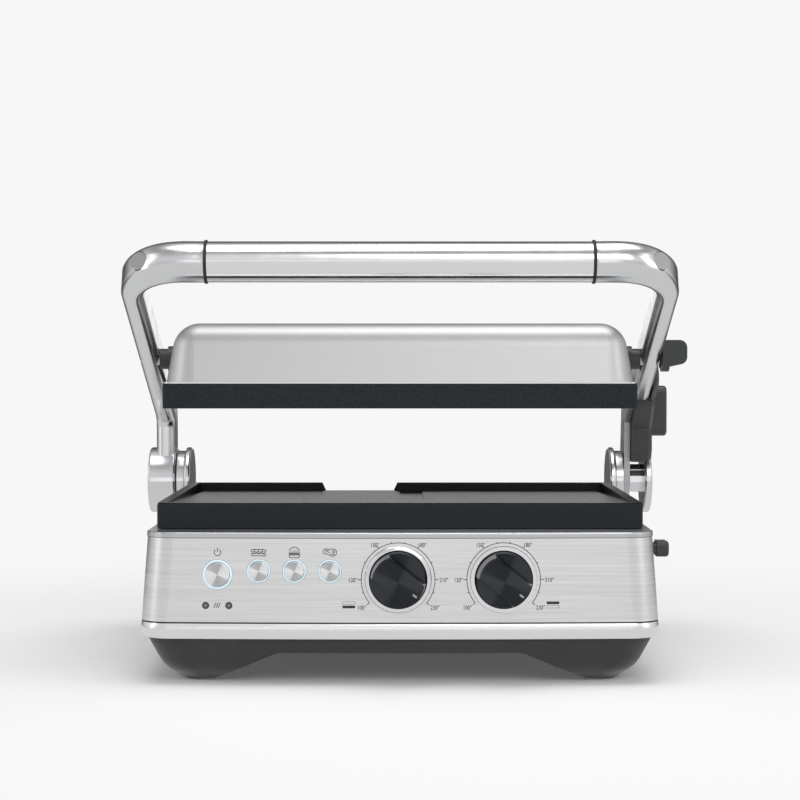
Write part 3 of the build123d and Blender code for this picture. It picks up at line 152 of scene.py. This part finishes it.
low_glow = room.nodes.new("ShaderNodeMapRange")
room.links.new(split.outputs["Z"], low_glow.inputs["Value"])
socket_values(low_glow, From_Min=0.12, From_Max=0.24, To_Min=2.2, To_Max=0.0)
sideways = room.nodes.new("ShaderNodeMath")
sideways.operation = "ABSOLUTE"
room.links.new(split.outputs["X"], sideways.inputs[0])
glow_reach = room.nodes.new("ShaderNodeMapRange")
room.links.new(sideways.outputs[0], glow_reach.inputs["Value"])
socket_values(glow_reach, From_Min=0.16, From_Max=0.34, To_Min=1.0, To_Max=0.0)
glow = room.nodes.new("ShaderNodeMath")
glow.operation = "MULTIPLY"
room.links.new(low_glow.outputs["Result"], glow.inputs[0])
room.links.new(glow_reach.outputs["Result"], glow.inputs[1])
backlight = room.nodes.new("ShaderNodeMath")
backlight.operation = "MAXIMUM"
room.links.new(behind.outputs["Result"], backlight.inputs[0])
room.links.new(glow.outputs[0], backlight.inputs[1])
shade = room.nodes.new("ShaderNodeMix")
shade.data_type = "RGBA"
shade.blend_type = "MULTIPLY"
shade.inputs["Factor"].default_value = 1
room.links.new(height_ramp.outputs["Color"], shade.inputs[mix_first])
room.links.new(backlight.outputs[0], shade.inputs[mix_second])
seen_room = room.nodes.new("ShaderNodeBackground")
socket_values(seen_room, Color=(*studio_white, 1), Strength=1.0)
mirrored_room = room.nodes.new("ShaderNodeBackground")
room.links.new(shade.outputs[mix_result], mirrored_room.inputs["Color"])
which_ray = room.nodes.new("ShaderNodeLightPath")
room_choice = room.nodes.new("ShaderNodeMixShader")
room.links.new(which_ray.outputs["Is Camera Ray"], room_choice.inputs[0])
room.links.new(mirrored_room.outputs[0], room_choice.inputs[1])
room.links.new(seen_room.outputs[0], room_choice.inputs[2])
room_output = room.nodes.new("ShaderNodeOutputWorld")
room.links.new(room_choice.outputs[0], room_output.inputs["Surface"])
bpy.context.scene.view_settings.view_transform = "Standard"

# Bottom housing. One moulding in fine-textured black polypropylene, with an arch from front to back
# and another from side to side, which leave a foot at each corner.
housing_black = (0.02, 0.0205, 0.021)
pattern_low, pattern_high = 0.3, 0.7


def new_surface(name, color, metallic, roughness):
    """A material with its shader, and the piece's own coordinates to build patterns on."""
    material = bpy.data.materials.new(name)
    material.use_nodes = True
    tree = material.node_tree
    shader = tree.nodes["Principled BSDF"]
    socket_values(shader, Base_Color=(*color, 1), Metallic=metallic, Roughness=roughness)
    coordinates = tree.nodes.new("ShaderNodeTexCoord")
    return material, tree, shader, coordinates.outputs["Object"]


def noise(tree, coordinates, scale, detail=3, stretch=(1, 1, 1)):
    """A noise pattern, stretched along the piece's axes."""
    mapping = tree.nodes.new("ShaderNodeMapping")
    tree.links.new(coordinates, mapping.inputs["Vector"])
    mapping.inputs["Scale"].default_value = stretch
    texture = tree.nodes.new("ShaderNodeTexNoise")
    tree.links.new(mapping.outputs[0], texture.inputs["Vector"])
    socket_values(texture, Scale=scale, Detail=detail, Roughness=0.55)
    return texture.outputs["Fac"]


def vary_roughness(tree, shader, pattern, low, high):
    """Let a pattern move the roughness between two values."""
    spread = tree.nodes.new("ShaderNodeMapRange")
    tree.links.new(pattern, spread.inputs["Value"])
    socket_values(spread, From_Min=pattern_low, From_Max=pattern_high, To_Min=low, To_Max=high)
    tree.links.new(spread.outputs["Result"], shader.inputs["Roughness"])


def vary_color(tree, shader, pattern, dark, light):
    """Let a pattern move the colour between two shades."""
    ramp = tree.nodes.new("ShaderNodeValToRGB")
    tree.links.new(pattern, ramp.inputs[0])
    ramp.color_ramp.elements[0].position = pattern_low
    ramp.color_ramp.elements[0].color = (*dark, 1)
    ramp.color_ramp.elements[1].position = pattern_high
    ramp.color_ramp.elements[1].color = (*light, 1)
    tree.links.new(ramp.outputs["Color"], shader.inputs["Base Color"])
    return ramp


def add_bump(tree, shader, pattern, depth, strength=1.0):
    """Raise the surface by a pattern, by a depth in metres."""
    bump = tree.nodes.new("ShaderNodeBump")
    socket_values(bump, Strength=strength, Distance=depth)
    tree.links.new(pattern, bump.inputs["Height"])
    tree.links.new(bump.outputs["Normal"], shader.inputs["Normal"])


def wear(material, *nodes):
    """Give CAD nodes a material."""
    for name in nodes:
        mesh = cad[name].data
        if not mesh.materials:
            mesh.materials.append(material)
        for index in range(len(mesh.materials)):
            mesh.materials[index] = material


def moulded(name, color, roughness, grain_scale=1600, grain_depth=0.00004):
    """Moulded plastic: fine spark-erosion grain, a little cloudiness in its gloss."""
    material, tree, shader, coordinates = new_surface(name, color, 0, roughness)
    vary_roughness(tree, shader, noise(tree, coordinates, 40), roughness - 0.05, roughness + 0.07)
    lighter = tuple(min(1, part * 1.25 + 0.002) for part in color)
    vary_color(tree, shader, noise(tree, coordinates, 18), color, lighter)
    add_bump(tree, shader, noise(tree, coordinates, grain_scale, 2), grain_depth)
    return material


wear(moulded("textured_housing_black", housing_black, 0.42), "bottom_housing")

# Rubber feet and base screws. Four soft pads pushed into the feet hide the long screws that pull
# the housing up to the deck.
scratch_stretch = 0.012
scratch_tone = 0.86
wear(moulded("foot_rubber", (0.012, 0.012, 0.012), 0.75, 2400, 0.00006), "rubber_feet")


def brushed(name, color, roughness, along, streak=0.12, depth=0.000012, grain=520):
    """Brushed metal: long scratches along one or two axes, in gloss, tone and relief."""
    material, tree, shader, coordinates = new_surface(name, color, 1, roughness)
    stretch = tuple(scratch_stretch if axis in along else 1 for axis in "xyz")
    scratches = noise(tree, coordinates, grain, 4, stretch)
    vary_roughness(tree, shader, scratches, roughness - streak, roughness + streak)
    darker = tuple(part * scratch_tone for part in color)
    vary_color(tree, shader, scratches, darker, color)
    add_bump(tree, shader, scratches, depth)
    return material


mill_steel = brushed("mill_steel", (0.55, 0.56, 0.57), 0.38, "x", 0.08)
wear(mill_steel, "base_screws", "base_latch_bar", "hinge_bracket")
wear(mill_steel, "hinge_pin_left", "hinge_pin_right", "arm_screws", "lid_pivot_pins")

# Trim band. A polished aluminium casting with soft edges, clamped between the housing and the body
# panel. Painted shade darkens its two joints as thin dark lines.
trim_low, trim_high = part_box("trim_band")
joint_softness = 0.6


def polished(name, color, roughness):
    """Polished metal, with the faint waviness that hand polishing leaves."""
    material, tree, shader, coordinates = new_surface(name, color, 1, roughness)
    vary_roughness(tree, shader, noise(tree, coordinates, 60, 4), roughness * 0.85, roughness * 1.2)
    add_bump(tree, shader, noise(tree, coordinates, 14, 0), 0.00006, 0.05)
    return material


def painted_seam_shade(material, low, high, line, seam_shade=(0.02, 0.02, 0.02)):
    """Paint shade as a thin dark line at a piece's lower and upper joints, where its edge turns in."""
    tree = material.node_tree
    shader = tree.nodes["Principled BSDF"]
    placed = tree.nodes.new("ShaderNodeTexCoord")
    parts = tree.nodes.new("ShaderNodeSeparateXYZ")
    tree.links.new(placed.outputs["Object"], parts.inputs[0])
    above = tree.nodes.new("ShaderNodeMapRange")
    tree.links.new(parts.outputs["Z"], above.inputs["Value"])
    core = line * joint_softness
    socket_values(above, From_Min=high - line, From_Max=high - core, To_Min=0.0, To_Max=1.0)
    below = tree.nodes.new("ShaderNodeMapRange")
    tree.links.new(parts.outputs["Z"], below.inputs["Value"])
    socket_values(below, From_Min=low + core, From_Max=low + line, To_Min=1.0, To_Max=0.0)
    either = tree.nodes.new("ShaderNodeMath")
    either.operation = "MAXIMUM"
    tree.links.new(above.outputs["Result"], either.inputs[0])
    tree.links.new(below.outputs["Result"], either.inputs[1])
    tone = tree.nodes.new("ShaderNodeMix")
    tone.data_type = "RGBA"
    tree.links.new(either.outputs[0], tone.inputs["Factor"])
    drawn = shader.inputs["Base Color"].links
    if drawn:
        tree.links.new(drawn[0].from_socket, tone.inputs[mix_first])
    else:
        tone.inputs[mix_first].default_value = shader.inputs["Base Color"].default_value
    tone.inputs[mix_second].default_value = (*seam_shade, 1)
    tree.links.new(tone.outputs[mix_result], shader.inputs["Base Color"])


trim_metal = polished("polished_trim", (0.86, 0.865, 0.87), 0.28)
painted_seam_shade(trim_metal, trim_low.z, trim_high.z, 0.0009)
wear(trim_metal, "trim_band")

# Body panel. One wrap of stainless sheet, brushed level all the way round, welded at the back and
# held between the trim band and the top deck.
panel_steel = brushed("brushed_panel", (0.84, 0.84, 0.845), 0.34, "xy", 0.05, 0.000005, 900)
# Painted shade darkens the panel's top and bottom joints as thin lines.
painted_seam_shade(panel_steel, panel_low.z, panel_high.z, 0.0005, (0.1, 0.1, 0.1))
wear(panel_steel, "body_panel")

# Top deck. A die casting painted satin silver, which closes the base and carries the reflector
# pan and the lower plate.
deck_paint = brushed("satin_deck", (0.62, 0.63, 0.64), 0.34, "xy", 0.05, 0.000006, 300)
wear(deck_paint, "top_deck")

# Light rings and buttons. Turned metal caps with a spun face stand in translucent rings, which glow
# white from lamps on the board behind them.
ring_fineness = 5200
# The painted sheen: where its bright wedges turn to, and how dark its shaded wedges are.
sheen_turn = 0.9
sheen_dark = 0.62


def spun(name, color, roughness, centre_x, centre_z):
    """Spun face: fine circles round the piece's axis, and a wedge-shaped sheen painted into the colour.
    """
    material, tree, shader, coordinates = new_surface(name, color, 1, roughness)
    centred = tree.nodes.new("ShaderNodeMapping")
    tree.links.new(coordinates, centred.inputs["Vector"])
    centred.inputs["Location"].default_value = (-centre_x, 0, -centre_z)
    circle_way = tree.nodes.new("ShaderNodeVectorMath")
    circle_way.operation = "CROSS_PRODUCT"
    tree.links.new(centred.outputs[0], circle_way.inputs[0])
    circle_way.inputs[1].default_value = (0, 1, 0)
    unit = tree.nodes.new("ShaderNodeVectorMath")
    unit.operation = "NORMALIZE"
    tree.links.new(circle_way.outputs[0], unit.inputs[0])
    tree.links.new(unit.outputs[0], shader.inputs["Tangent"])
    shader.inputs["Anisotropic"].default_value = 0.75
    parts = tree.nodes.new("ShaderNodeSeparateXYZ")
    tree.links.new(centred.outputs[0], parts.inputs[0])
    flat = tree.nodes.new("ShaderNodeCombineXYZ")
    tree.links.new(parts.outputs["X"], flat.inputs["X"])
    tree.links.new(parts.outputs["Z"], flat.inputs["Y"])
    radius = tree.nodes.new("ShaderNodeVectorMath")
    radius.operation = "LENGTH"
    tree.links.new(flat.outputs[0], radius.inputs[0])
    turning = tree.nodes.new("ShaderNodeMath")
    turning.operation = "ARCTAN2"
    tree.links.new(parts.outputs["Z"], turning.inputs[0])
    tree.links.new(parts.outputs["X"], turning.inputs[1])
    polar = tree.nodes.new("ShaderNodeCombineXYZ")
    tree.links.new(radius.outputs["Value"], polar.inputs["X"])
    rings = noise(tree, polar.outputs[0], ring_fineness, 2)
    vary_roughness(tree, shader, rings, roughness - 0.07, roughness + 0.07)
    # Painted sheen: the colour is lightened and darkened in wedges round the axis, standing in for
    # highlights on the spun face.
    doubled = tree.nodes.new("ShaderNodeMath")
    doubled.operation = "MULTIPLY_ADD"
    tree.links.new(turning.outputs[0], doubled.inputs[0])
    doubled.inputs[1].default_value = 2
    doubled.inputs[2].default_value = sheen_turn
    wedge = tree.nodes.new("ShaderNodeMath")
    wedge.operation = "SINE"
    tree.links.new(doubled.outputs[0], wedge.inputs[0])
    sheen = tree.nodes.new("ShaderNodeMapRange")
    tree.links.new(wedge.outputs[0], sheen.inputs["Value"])
    socket_values(sheen, From_Min=-1, From_Max=1, To_Min=0, To_Max=1)
    darker = tuple(part * sheen_dark for part in color)
    ramp = vary_color(tree, shader, sheen.outputs["Result"], darker, color)
    ramp.color_ramp.interpolation = "EASE"
    return material


# Each cap's colour carries the painted wedge sheen.
for button in ("power_button", "preset_button_1", "preset_button_2", "preset_button_3"):
    low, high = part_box(button)
    face = spun(f"spun_{button}", (0.88, 0.88, 0.89), 0.3, (low.x + high.x) / 2, (low.z + high.z) / 2)
    wear(face, button)

ring_glow, ring_tree, ring_shader, ring_place = new_surface("ring_glow", (0.62, 0.8, 0.9), 0, 0.35)
socket_values(ring_shader, Emission_Color=(0.82, 0.93, 1.0, 1), Emission_Strength=0.22)
vary_roughness(ring_tree, ring_shader, noise(ring_tree, ring_place, 300), 0.3, 0.45)
wear(ring_glow, "light_rings")

# Indicator lamps. Two small smoked lenses pushed into the panel from behind, dark until the plates
# heat, with a paler core in the middle of each as a painted highlight.
lens_highlight, lens_dark = (0.22, 0.23, 0.24), (0.012, 0.012, 0.013)
lens, lens_tree, lens_shader, lens_place = new_surface("smoked_lens", (0.02, 0.021, 0.022), 0, 0.16)
vary_roughness(lens_tree, lens_shader, noise(lens_tree, lens_place, 200), 0.12, 0.22)
lens_shader.inputs["Coat Weight"].default_value = 0.4
lamp_low, lamp_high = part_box("indicator_lamps")
lamp_size = lamp_high.z - lamp_low.z
fold = lens_tree.nodes.new("ShaderNodeVectorMath")
fold.operation = "SUBTRACT"
lens_tree.links.new(lens_place, fold.inputs[0])
fold.inputs[1].default_value = ((lamp_low.x + lamp_high.x) / 2, 0, (lamp_low.z + lamp_high.z) / 2)
mirrored = lens_tree.nodes.new("ShaderNodeVectorMath")
mirrored.operation = "ABSOLUTE"
lens_tree.links.new(fold.outputs[0], mirrored.inputs[0])
from_lens = lens_tree.nodes.new("ShaderNodeVectorMath")
from_lens.operation = "SUBTRACT"
lens_tree.links.new(mirrored.outputs[0], from_lens.inputs[0])
from_lens.inputs[1].default_value = ((lamp_high.x - lamp_low.x - lamp_size) / 2, 0, 0)
flattened = lens_tree.nodes.new("ShaderNodeVectorMath")
flattened.operation = "MULTIPLY"
lens_tree.links.new(from_lens.outputs[0], flattened.inputs[0])
flattened.inputs[1].default_value = (1, 0, 1)
off_centre = lens_tree.nodes.new("ShaderNodeVectorMath")
off_centre.operation = "LENGTH"
lens_tree.links.new(flattened.outputs[0], off_centre.inputs[0])
# The middle of each lens is paler than its rim: a painted highlight.
lens_highlight_mask = lens_tree.nodes.new("ShaderNodeMapRange")
lens_tree.links.new(off_centre.outputs["Value"], lens_highlight_mask.inputs["Value"])
socket_values(lens_highlight_mask, From_Min=lamp_size * 0.12, From_Max=lamp_size * 0.36, To_Min=0.35, To_Max=0.65)
vary_color(lens_tree, lens_shader, lens_highlight_mask.outputs["Result"], lens_highlight, lens_dark)
wear(lens, "indicator_lamps")

# Knob bezels and knobs. Polished rings let into the panel, and gloss black knobs pushed on the
# encoder shafts, with a spun face on the grip bar.
wear(polished("bezel_plating", (0.86, 0.86, 0.87), 0.22), "knob_bezels")
# Each knob's colour carries the painted wedge sheen as well.
for knob in ("knob_left", "knob_right"):
    low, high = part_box(knob)
    face = spun(f"spun_{knob}", (0.05, 0.054, 0.06), 0.3, (low.x + high.x) / 2, (low.z + high.z) / 2)
    wear(face, knob)

# Panel print. Dark grey screen-printed marks: each knob's temperature scale with its plate symbol, a
# power mark, one food picture over each preset button, and heat waves between the lamps. Artwork is
# given in millimetres from its own centre.
print_ink = moulded("panel_ink", (0.016, 0.016, 0.017), 0.6, 900, 0.00001)
print_film = 0.00004
line_width = 0.0005
panel = cad["body_panel"]
scale_radius = 25.6
scale_end = 129
scale_steps = 72
scale_ticks = {10: 1.1, 63: 1.1, 110: 1.1, 32: 2.4, 90: 2.6, scale_end: 2.4}
tick_overlap = 0.2
number_size = 0.0041
number_squeeze = 0.8
number_weight = 0.00005
number_places = {
    100: (-25.3, -19.6),
    120: (-31.6, -0.4),
    150: (-16.2, 23.9),
    180: (16.8, 23.9),
    210: (31.8, -0.4),
    230: (25.6, -19.6),
}
icon_out, icon_drop = 0.0343, 0.0176
bar_near, bar_far = 0.5, 2.2
solid_half, outline_half = 4.4, 4.3
outline_width = 0.0003
tooth_places = (-3.3, -2, -0.7, 0.7, 2, 3.3)
tooth_reach = 0.3
bezel_low, bezel_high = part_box("knob_bezels")


def on_panel(piece, name, face=panel):
    """Make upright artwork a mesh, and lay it on the face of the panel or another node."""
    bpy.ops.object.select_all(action="DESELECT")
    piece.select_set(True)
    bpy.context.view_layer.objects.active = piece
    bpy.ops.object.convert(target="MESH")
    piece = bpy.context.object
    bpy.ops.object.transform_apply(location=True, rotation=True, scale=True)
    for point in piece.data.vertices:
        hit, place = face.ray_cast((point.co.x, -1, point.co.z), (0, 1, 0))[:2]
        point.co.y += place.y if hit else panel_low.y
    piece.name = name
    piece.data.materials.clear()
    piece.data.materials.append(print_ink)
    return piece


def stroke(name, lines, centre, width=line_width):
    """Printed lines through points given in millimetres from a centre; a closed line ends in True."""
    curve = bpy.data.curves.new(name, "CURVE")
    curve.dimensions = "3D"
    curve.bevel_depth = width / 2
    curve.bevel_resolution = 1
    curve.use_fill_caps = True
    for points, closed in lines:
        line = curve.splines.new("POLY")
        line.points.add(len(points) - 1)
        for spot, (across, up) in zip(line.points, points):
            spot.co = (across / 1000, up / 1000, 0, 1)
        line.use_cyclic_u = closed
    piece = bpy.data.objects.new(name, curve)
    bpy.context.collection.objects.link(piece)
    piece.location = (centre[0], 0, centre[1])
    piece.rotation_euler.x = math.radians(90)
    piece.scale = (1, 1, 2 * print_film / width)
    return on_panel(piece, name)


def patch(name, points, centre, face=panel):
    """A printed solid shape with corners in millimetres from a centre."""
    curve = bpy.data.curves.new(name, "CURVE")
    curve.dimensions = "2D"
    curve.fill_mode = "BOTH"
    curve.extrude = print_film
    line = curve.splines.new("POLY")
    line.points.add(len(points) - 1)
    for spot, (across, up) in zip(line.points, points):
        spot.co = (across / 1000, up / 1000, 0, 1)
    line.use_cyclic_u = True
    piece = bpy.data.objects.new(name, curve)
    bpy.context.collection.objects.link(piece)
    piece.location = (centre[0], 0, centre[1])
    piece.rotation_euler.x = math.radians(90)
    return on_panel(piece, name, face)


def number(text, centre):
    """A printed number, squeezed like a narrow typeface."""
    bpy.ops.object.select_all(action="DESELECT")
    bpy.ops.object.text_add(location=(centre[0], 0, centre[1]), rotation=(math.radians(90), 0, 0))
    piece = bpy.context.object
    piece.data.body = text
    piece.data.align_x = "CENTER"
    piece.data.align_y = "CENTER"
    piece.data.size = number_size
    piece.data.extrude = print_film
    piece.data.offset = number_weight
    piece.scale.x = number_squeeze
    return on_panel(piece, f"number_{text[:-1]}")


def arc(radius, start, end, count, middle=(0, 0)):
    """Points on an arc, by angles clockwise from the top, in millimetres."""
    turns = [math.radians(start + (end - start) * step / count) for step in range(count + 1)]
    return [(middle[0] + radius * math.sin(t), middle[1] + radius * math.cos(t)) for t in turns]


def as_one(name, pieces):
    """Join printed marks into one piece of the base."""
    bpy.ops.object.select_all(action="DESELECT")
    for piece in pieces:
        piece.select_set(True)
    whole = pieces[0]
    bpy.context.view_layer.objects.active = whole
    if len(pieces) > 1:
        bpy.ops.object.join()
    whole.name = name
    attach(whole, "base")


def box_line(left, low, right, high):
    """A closed rectangle's corners."""
    return [(left, low), (right, low), (right, high), (left, high)]


for knob, side in (("knob_left", -1), ("knob_right", 1)):
    low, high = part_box(knob)
    centre = ((low.x + high.x) / 2, (bezel_low.z + bezel_high.z) / 2)
    scale_lines = [(arc(scale_radius, -scale_end, scale_end, scale_steps), False)]
    for turn, reach in scale_ticks.items():
        for signed in (-turn, turn):
            inner = arc(scale_radius - tick_overlap, signed, signed, 1)[0]
            outer = arc(scale_radius + reach, signed, signed, 1)[0]
            scale_lines.append(([inner, outer], False))
    marks = [stroke("scale", scale_lines, centre)]
    for value, (across, up) in number_places.items():
        marks.append(number(f"{value}\u00b0", (centre[0] + across / 1000, centre[1] + up / 1000)))
    icon = (centre[0] + side * icon_out, centre[1] - icon_drop)
    for bar in (1, -1):
        low_edge, high_edge = sorted((bar * bar_near, bar * bar_far))
        if bar == side:
            marks.append(patch("bar", box_line(-solid_half, low_edge, solid_half, high_edge), icon))
            foot, tip = low_edge - tooth_reach, high_edge + tooth_reach
            teeth = [([(x, foot), (x, tip)], False) for x in tooth_places]
            marks.append(stroke("teeth", teeth, icon))
        else:
            outline = [(box_line(-outline_half, low_edge, outline_half, high_edge), True)]
            marks.append(stroke("bar", outline, icon, outline_width))
    as_one(f"{knob}_scale", marks)

# Knob pointers. A pale filling, pressed into a small slot at one end of each knob's grip bar, shows
# the set mark and turns with the knob.
pointer_fill = moulded("pointer_fill", (0.42, 0.43, 0.44), 0.45)
pointer_reach = 14.7
pointer_turn = math.radians(-39)
pointer_half, pointer_radius = 1.2, 0.72
for knob in ("knob_left", "knob_right"):
    low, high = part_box(knob)
    centre = ((low.x + high.x) / 2, (low.z + high.z) / 2)
    capsule = arc(pointer_radius, 0, 180, 8, (pointer_half, 0))
    capsule += arc(pointer_radius, 180, 360, 8, (-pointer_half, 0))
    turned = [
        (
            (across + pointer_reach) * math.cos(pointer_turn) - up * math.sin(pointer_turn),
            (across + pointer_reach) * math.sin(pointer_turn) + up * math.cos(pointer_turn),
        )
        for across, up in capsule
    ]
    pointer = patch("pointer", turned, centre, cad[knob])
    pointer.name = f"{knob}_pointer"
    pointer.data.materials[0] = pointer_fill
    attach(pointer, knob)

# Marks over the buttons. A power mark, a toasted sandwich, a burger and a steak, printed in thin
# lines like the scales, and three heat waves between the lamps.
mark_rise = 0.0129
mark_line = 0.00052
wave_line = 0.00055
wave_gap = 1.5
button_lines = {
    "power_button": [
        (arc(2.3, 38, 322, 26), False),
        ([(0, 0.4), (0, 3.1)], False),
    ],
    "preset_button_1": [
        (arc(1.0, -90, 0, 5, (-4, 1.1)) + arc(1.0, 0, 90, 5, (4, 1.1)) + [(5, 0.5), (-5, 0.5)], True),
        ([(-4.7, -0.1), (-3.1, -0.6), (-1.5, 0), (0, -0.6), (1.5, 0), (3.1, -0.6), (4.7, -0.1)], False),
        (
            [(-5, -0.9), (5, -0.9)]
            + arc(0.8, 90, 180, 4, (4.2, -1.5))
            + arc(0.8, 180, 270, 4, (-4.2, -1.5)),
            True,
        ),
        ([(-2.6, 2.0), (-3.2, 0.6)], False),
        ([(0.2, 2.0), (-0.4, 0.6)], False),
        ([(3.0, 2.0), (2.4, 0.6)], False),
    ],
    "preset_button_2": [
        (arc(3.6, -78, 78, 16, (0, 0.2)), True),
        ([(-3.9, 0.1), (-2.6, -0.5), (-1.3, 0.1), (0, -0.5), (1.3, 0.1), (2.6, -0.5), (3.9, 0.1)], False),
        (
            [(-3.5, -2.6), (-3.7, -1.9), (3.7, -1.9), (3.5, -2.6)]
            + arc(0.9, 90, 180, 4, (2.6, -2.7))
            + arc(0.9, 180, 270, 4, (-2.6, -2.7)),
            True,
        ),
        ([(-1.2, 2.5), (-0.9, 2.7)], False),
        ([(1.2, 2.2), (1.5, 2.4)], False),
        ([(0, 1.7), (0.3, 1.9)], False),
    ],
    "preset_button_3": [
        (
            [(-4.8, 0.6), (-4.3, 2.0), (-3.0, 2.7), (-1.4, 2.5), (0.2, 2.2), (1.9, 2.6)]
            + [(3.6, 2.3), (4.7, 1.2), (4.8, -0.3), (4.0, -1.8), (2.5, -2.5)]
            + [(0.9, -2.4), (-0.4, -1.6), (-1.9, -1.1), (-3.6, -0.9), (-4.6, -0.3)],
            True,
        ),
        (arc(0.9, 0, 360, 12, (2.7, 0.6))[:-1], True),
        ([(-3.5, 1.3), (-2.0, 1.7), (-0.4, 1.3)], False),
        ([(-3.2, 0.3), (-1.6, 0.6), (0.2, 0.1)], False),
        ([(0.4, -1.0), (1.9, -1.5), (3.3, -1.0)], False),
    ],
}
low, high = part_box("preset_button_1")
mark_height = (low.z + high.z) / 2 + mark_rise
for button, lines in button_lines.items():
    low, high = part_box(button)
    place = ((low.x + high.x) / 2, mark_height)
    pieces = [stroke("mark", lines, place, mark_line)]
    if button == "preset_button_2":
        pieces.append(patch("patty", box_line(-3.9, -1.5, 3.9, -0.6), place))
    as_one(f"{button}_mark", pieces)

wave = [(-0.9, -1.5), (-0.2, -0.8), (-0.35, -0.1), (0.2, 0.5), (0.1, 1.0), (0.9, 1.7)]
waves = [([(across + shift, up) for across, up in wave], False) for shift in (-wave_gap, 0, wave_gap)]
middle = ((lamp_low.x + lamp_high.x) / 2, (lamp_low.z + lamp_high.z) / 2)
as_one("heat_waves", [stroke("waves", waves, middle, wave_line)])

# Inside the base and lid. The carrier, boards, switches and encoders stand behind the panel. Each
# plate has a rod element, a sensor and a reflector on its hidden side, and a heat shield hangs lower.
inner_black = moulded("inner_black", (0.03, 0.03, 0.032), 0.5)
wear(inner_black, "control_carrier", "button_switches", "board_standoffs", "cord_gland", "tray_sleeve")
board, board_tree, board_shader, board_place = new_surface("solder_mask", (0.01, 0.09, 0.035), 0, 0.35)
board_mottle = noise(board_tree, board_place, 350)
vary_color(board_tree, board_shader, board_mottle, (0.008, 0.07, 0.028), (0.02, 0.13, 0.05))
wear(board, "control_board", "power_board")
encoder_steel = brushed("encoder_steel", (0.6, 0.6, 0.6), 0.35, "y")
wear(encoder_steel, "knob_encoders", "lower_sensor", "upper_sensor", "lid_crossbar")
sheet = brushed("aluminised_sheet", (0.6, 0.61, 0.62), 0.4, "x", 0.06)
wear(sheet, "lower_reflector_pan", "heat_shield", "upper_reflector")
rod, rod_tree, rod_shader, rod_place = new_surface("heat_darkened_rod", (0.12, 0.11, 0.10), 1, 0.5)
rod_mottle = noise(rod_tree, rod_place, 70, 4)
vary_color(rod_tree, rod_shader, rod_mottle, (0.07, 0.065, 0.06), (0.2, 0.17, 0.15))
wear(rod, "lower_heating_element", "upper_heating_element")

# Drip tray. An open moulding in black plastic that slides in a sleeve and pulls out at the back, by
# a finger pocket in its face.
wear(moulded("tray_black", (0.03, 0.031, 0.033), 0.45), "drip_tray")

# Lower plate and upper plate. Aluminium castings, the upper one ribbed, with a sprayed non-stick
# coat that is flecked with grey.
coat_black = (0.007, 0.0105, 0.013)
coat_dark, coat_fleck = (0.006, 0.009, 0.0115), (0.034, 0.042, 0.049)
fleck_start, fleck_full = 0.5, 0.74


def nonstick(name):
    """Sprayed non-stick coat: near-black with fine pale flecks and an orange-peel skin."""
    material, tree, shader, coordinates = new_surface(name, coat_black, 0, 0.45)
    vary_roughness(tree, shader, noise(tree, coordinates, 500), 0.30, 0.40)
    flecks = noise(tree, coordinates, 1900, 3)
    ramp = vary_color(tree, shader, flecks, coat_dark, coat_fleck)
    ramp.color_ramp.elements[0].position = fleck_start
    ramp.color_ramp.elements[1].position = fleck_full
    add_bump(tree, shader, noise(tree, coordinates, 900, 3), 0.00003)
    shader.inputs["Specular IOR Level"].default_value = 0.25
    return material


wear(nonstick("nonstick_coat"), "lower_plate", "upper_plate")

# Plate release. A black moulded push button in the right side of the base. It moves the latch bar
# that holds the lower plate.
wear(moulded("release_black", (0.03, 0.031, 0.033), 0.4), "base_release_button")

# Hinge rings, cap and posts, height cam, arms and screw plugs. Aluminium castings, ground and
# polished. The handle is a polished tube between the arms, with a rubber seal at each end.
mirror_metal = polished("mirror_polish", (0.74, 0.745, 0.755), 0.21)
wear(mirror_metal, "hinge_collar_left", "hinge_collar_right", "hinge_cap_right", "height_cam")
wear(mirror_metal, "hinge_post_left", "hinge_post_right")
wear(mirror_metal, "left_arm", "right_arm")
# The plugs are coloured darker than their pale metal: painted shade standing in for the dark gap round
# each plug.
wear(polished("plug_satin", (0.40, 0.405, 0.41), 0.34), "handle_plugs")
wear(polished("handle_polish", (0.86, 0.865, 0.87), 0.16), "handle_tube")
wear(moulded("seal_rubber", (0.012, 0.012, 0.013), 0.6), "handle_seals")

# Height stop, slider and lid lock. Satin black mouldings on the right arm: the slider runs along the
# arm's leg, and the lever turns about the lid's pivot, whose bosses are moulded too.
stop_black = moulded("stop_black", (0.03, 0.032, 0.034), 0.36)
wear(stop_black, "height_stop_housing", "height_slider", "lid_lock_lever")
wear(moulded("boss_black", (0.03, 0.031, 0.033), 0.4), "lid_pivot_bosses")

# Lid frame and cover. A pale seam strip runs under the edge of the cover, which is deep-drawn steel
# sheet, blasted to an even satin.
wear(brushed("seam_strip", (0.75, 0.76, 0.77), 0.3, "xy", 0.04), "lid_frame")
satin, satin_tree, satin_shader, satin_place = new_surface("blasted_satin", (0.58, 0.58, 0.583), 1, 0.46)
vary_roughness(satin_tree, satin_shader, noise(satin_tree, satin_place, 900, 3), 0.42, 0.5)
add_bump(satin_tree, satin_shader, noise(satin_tree, satin_place, 2600, 2), 0.00002)
wear(satin, "lid_cover")
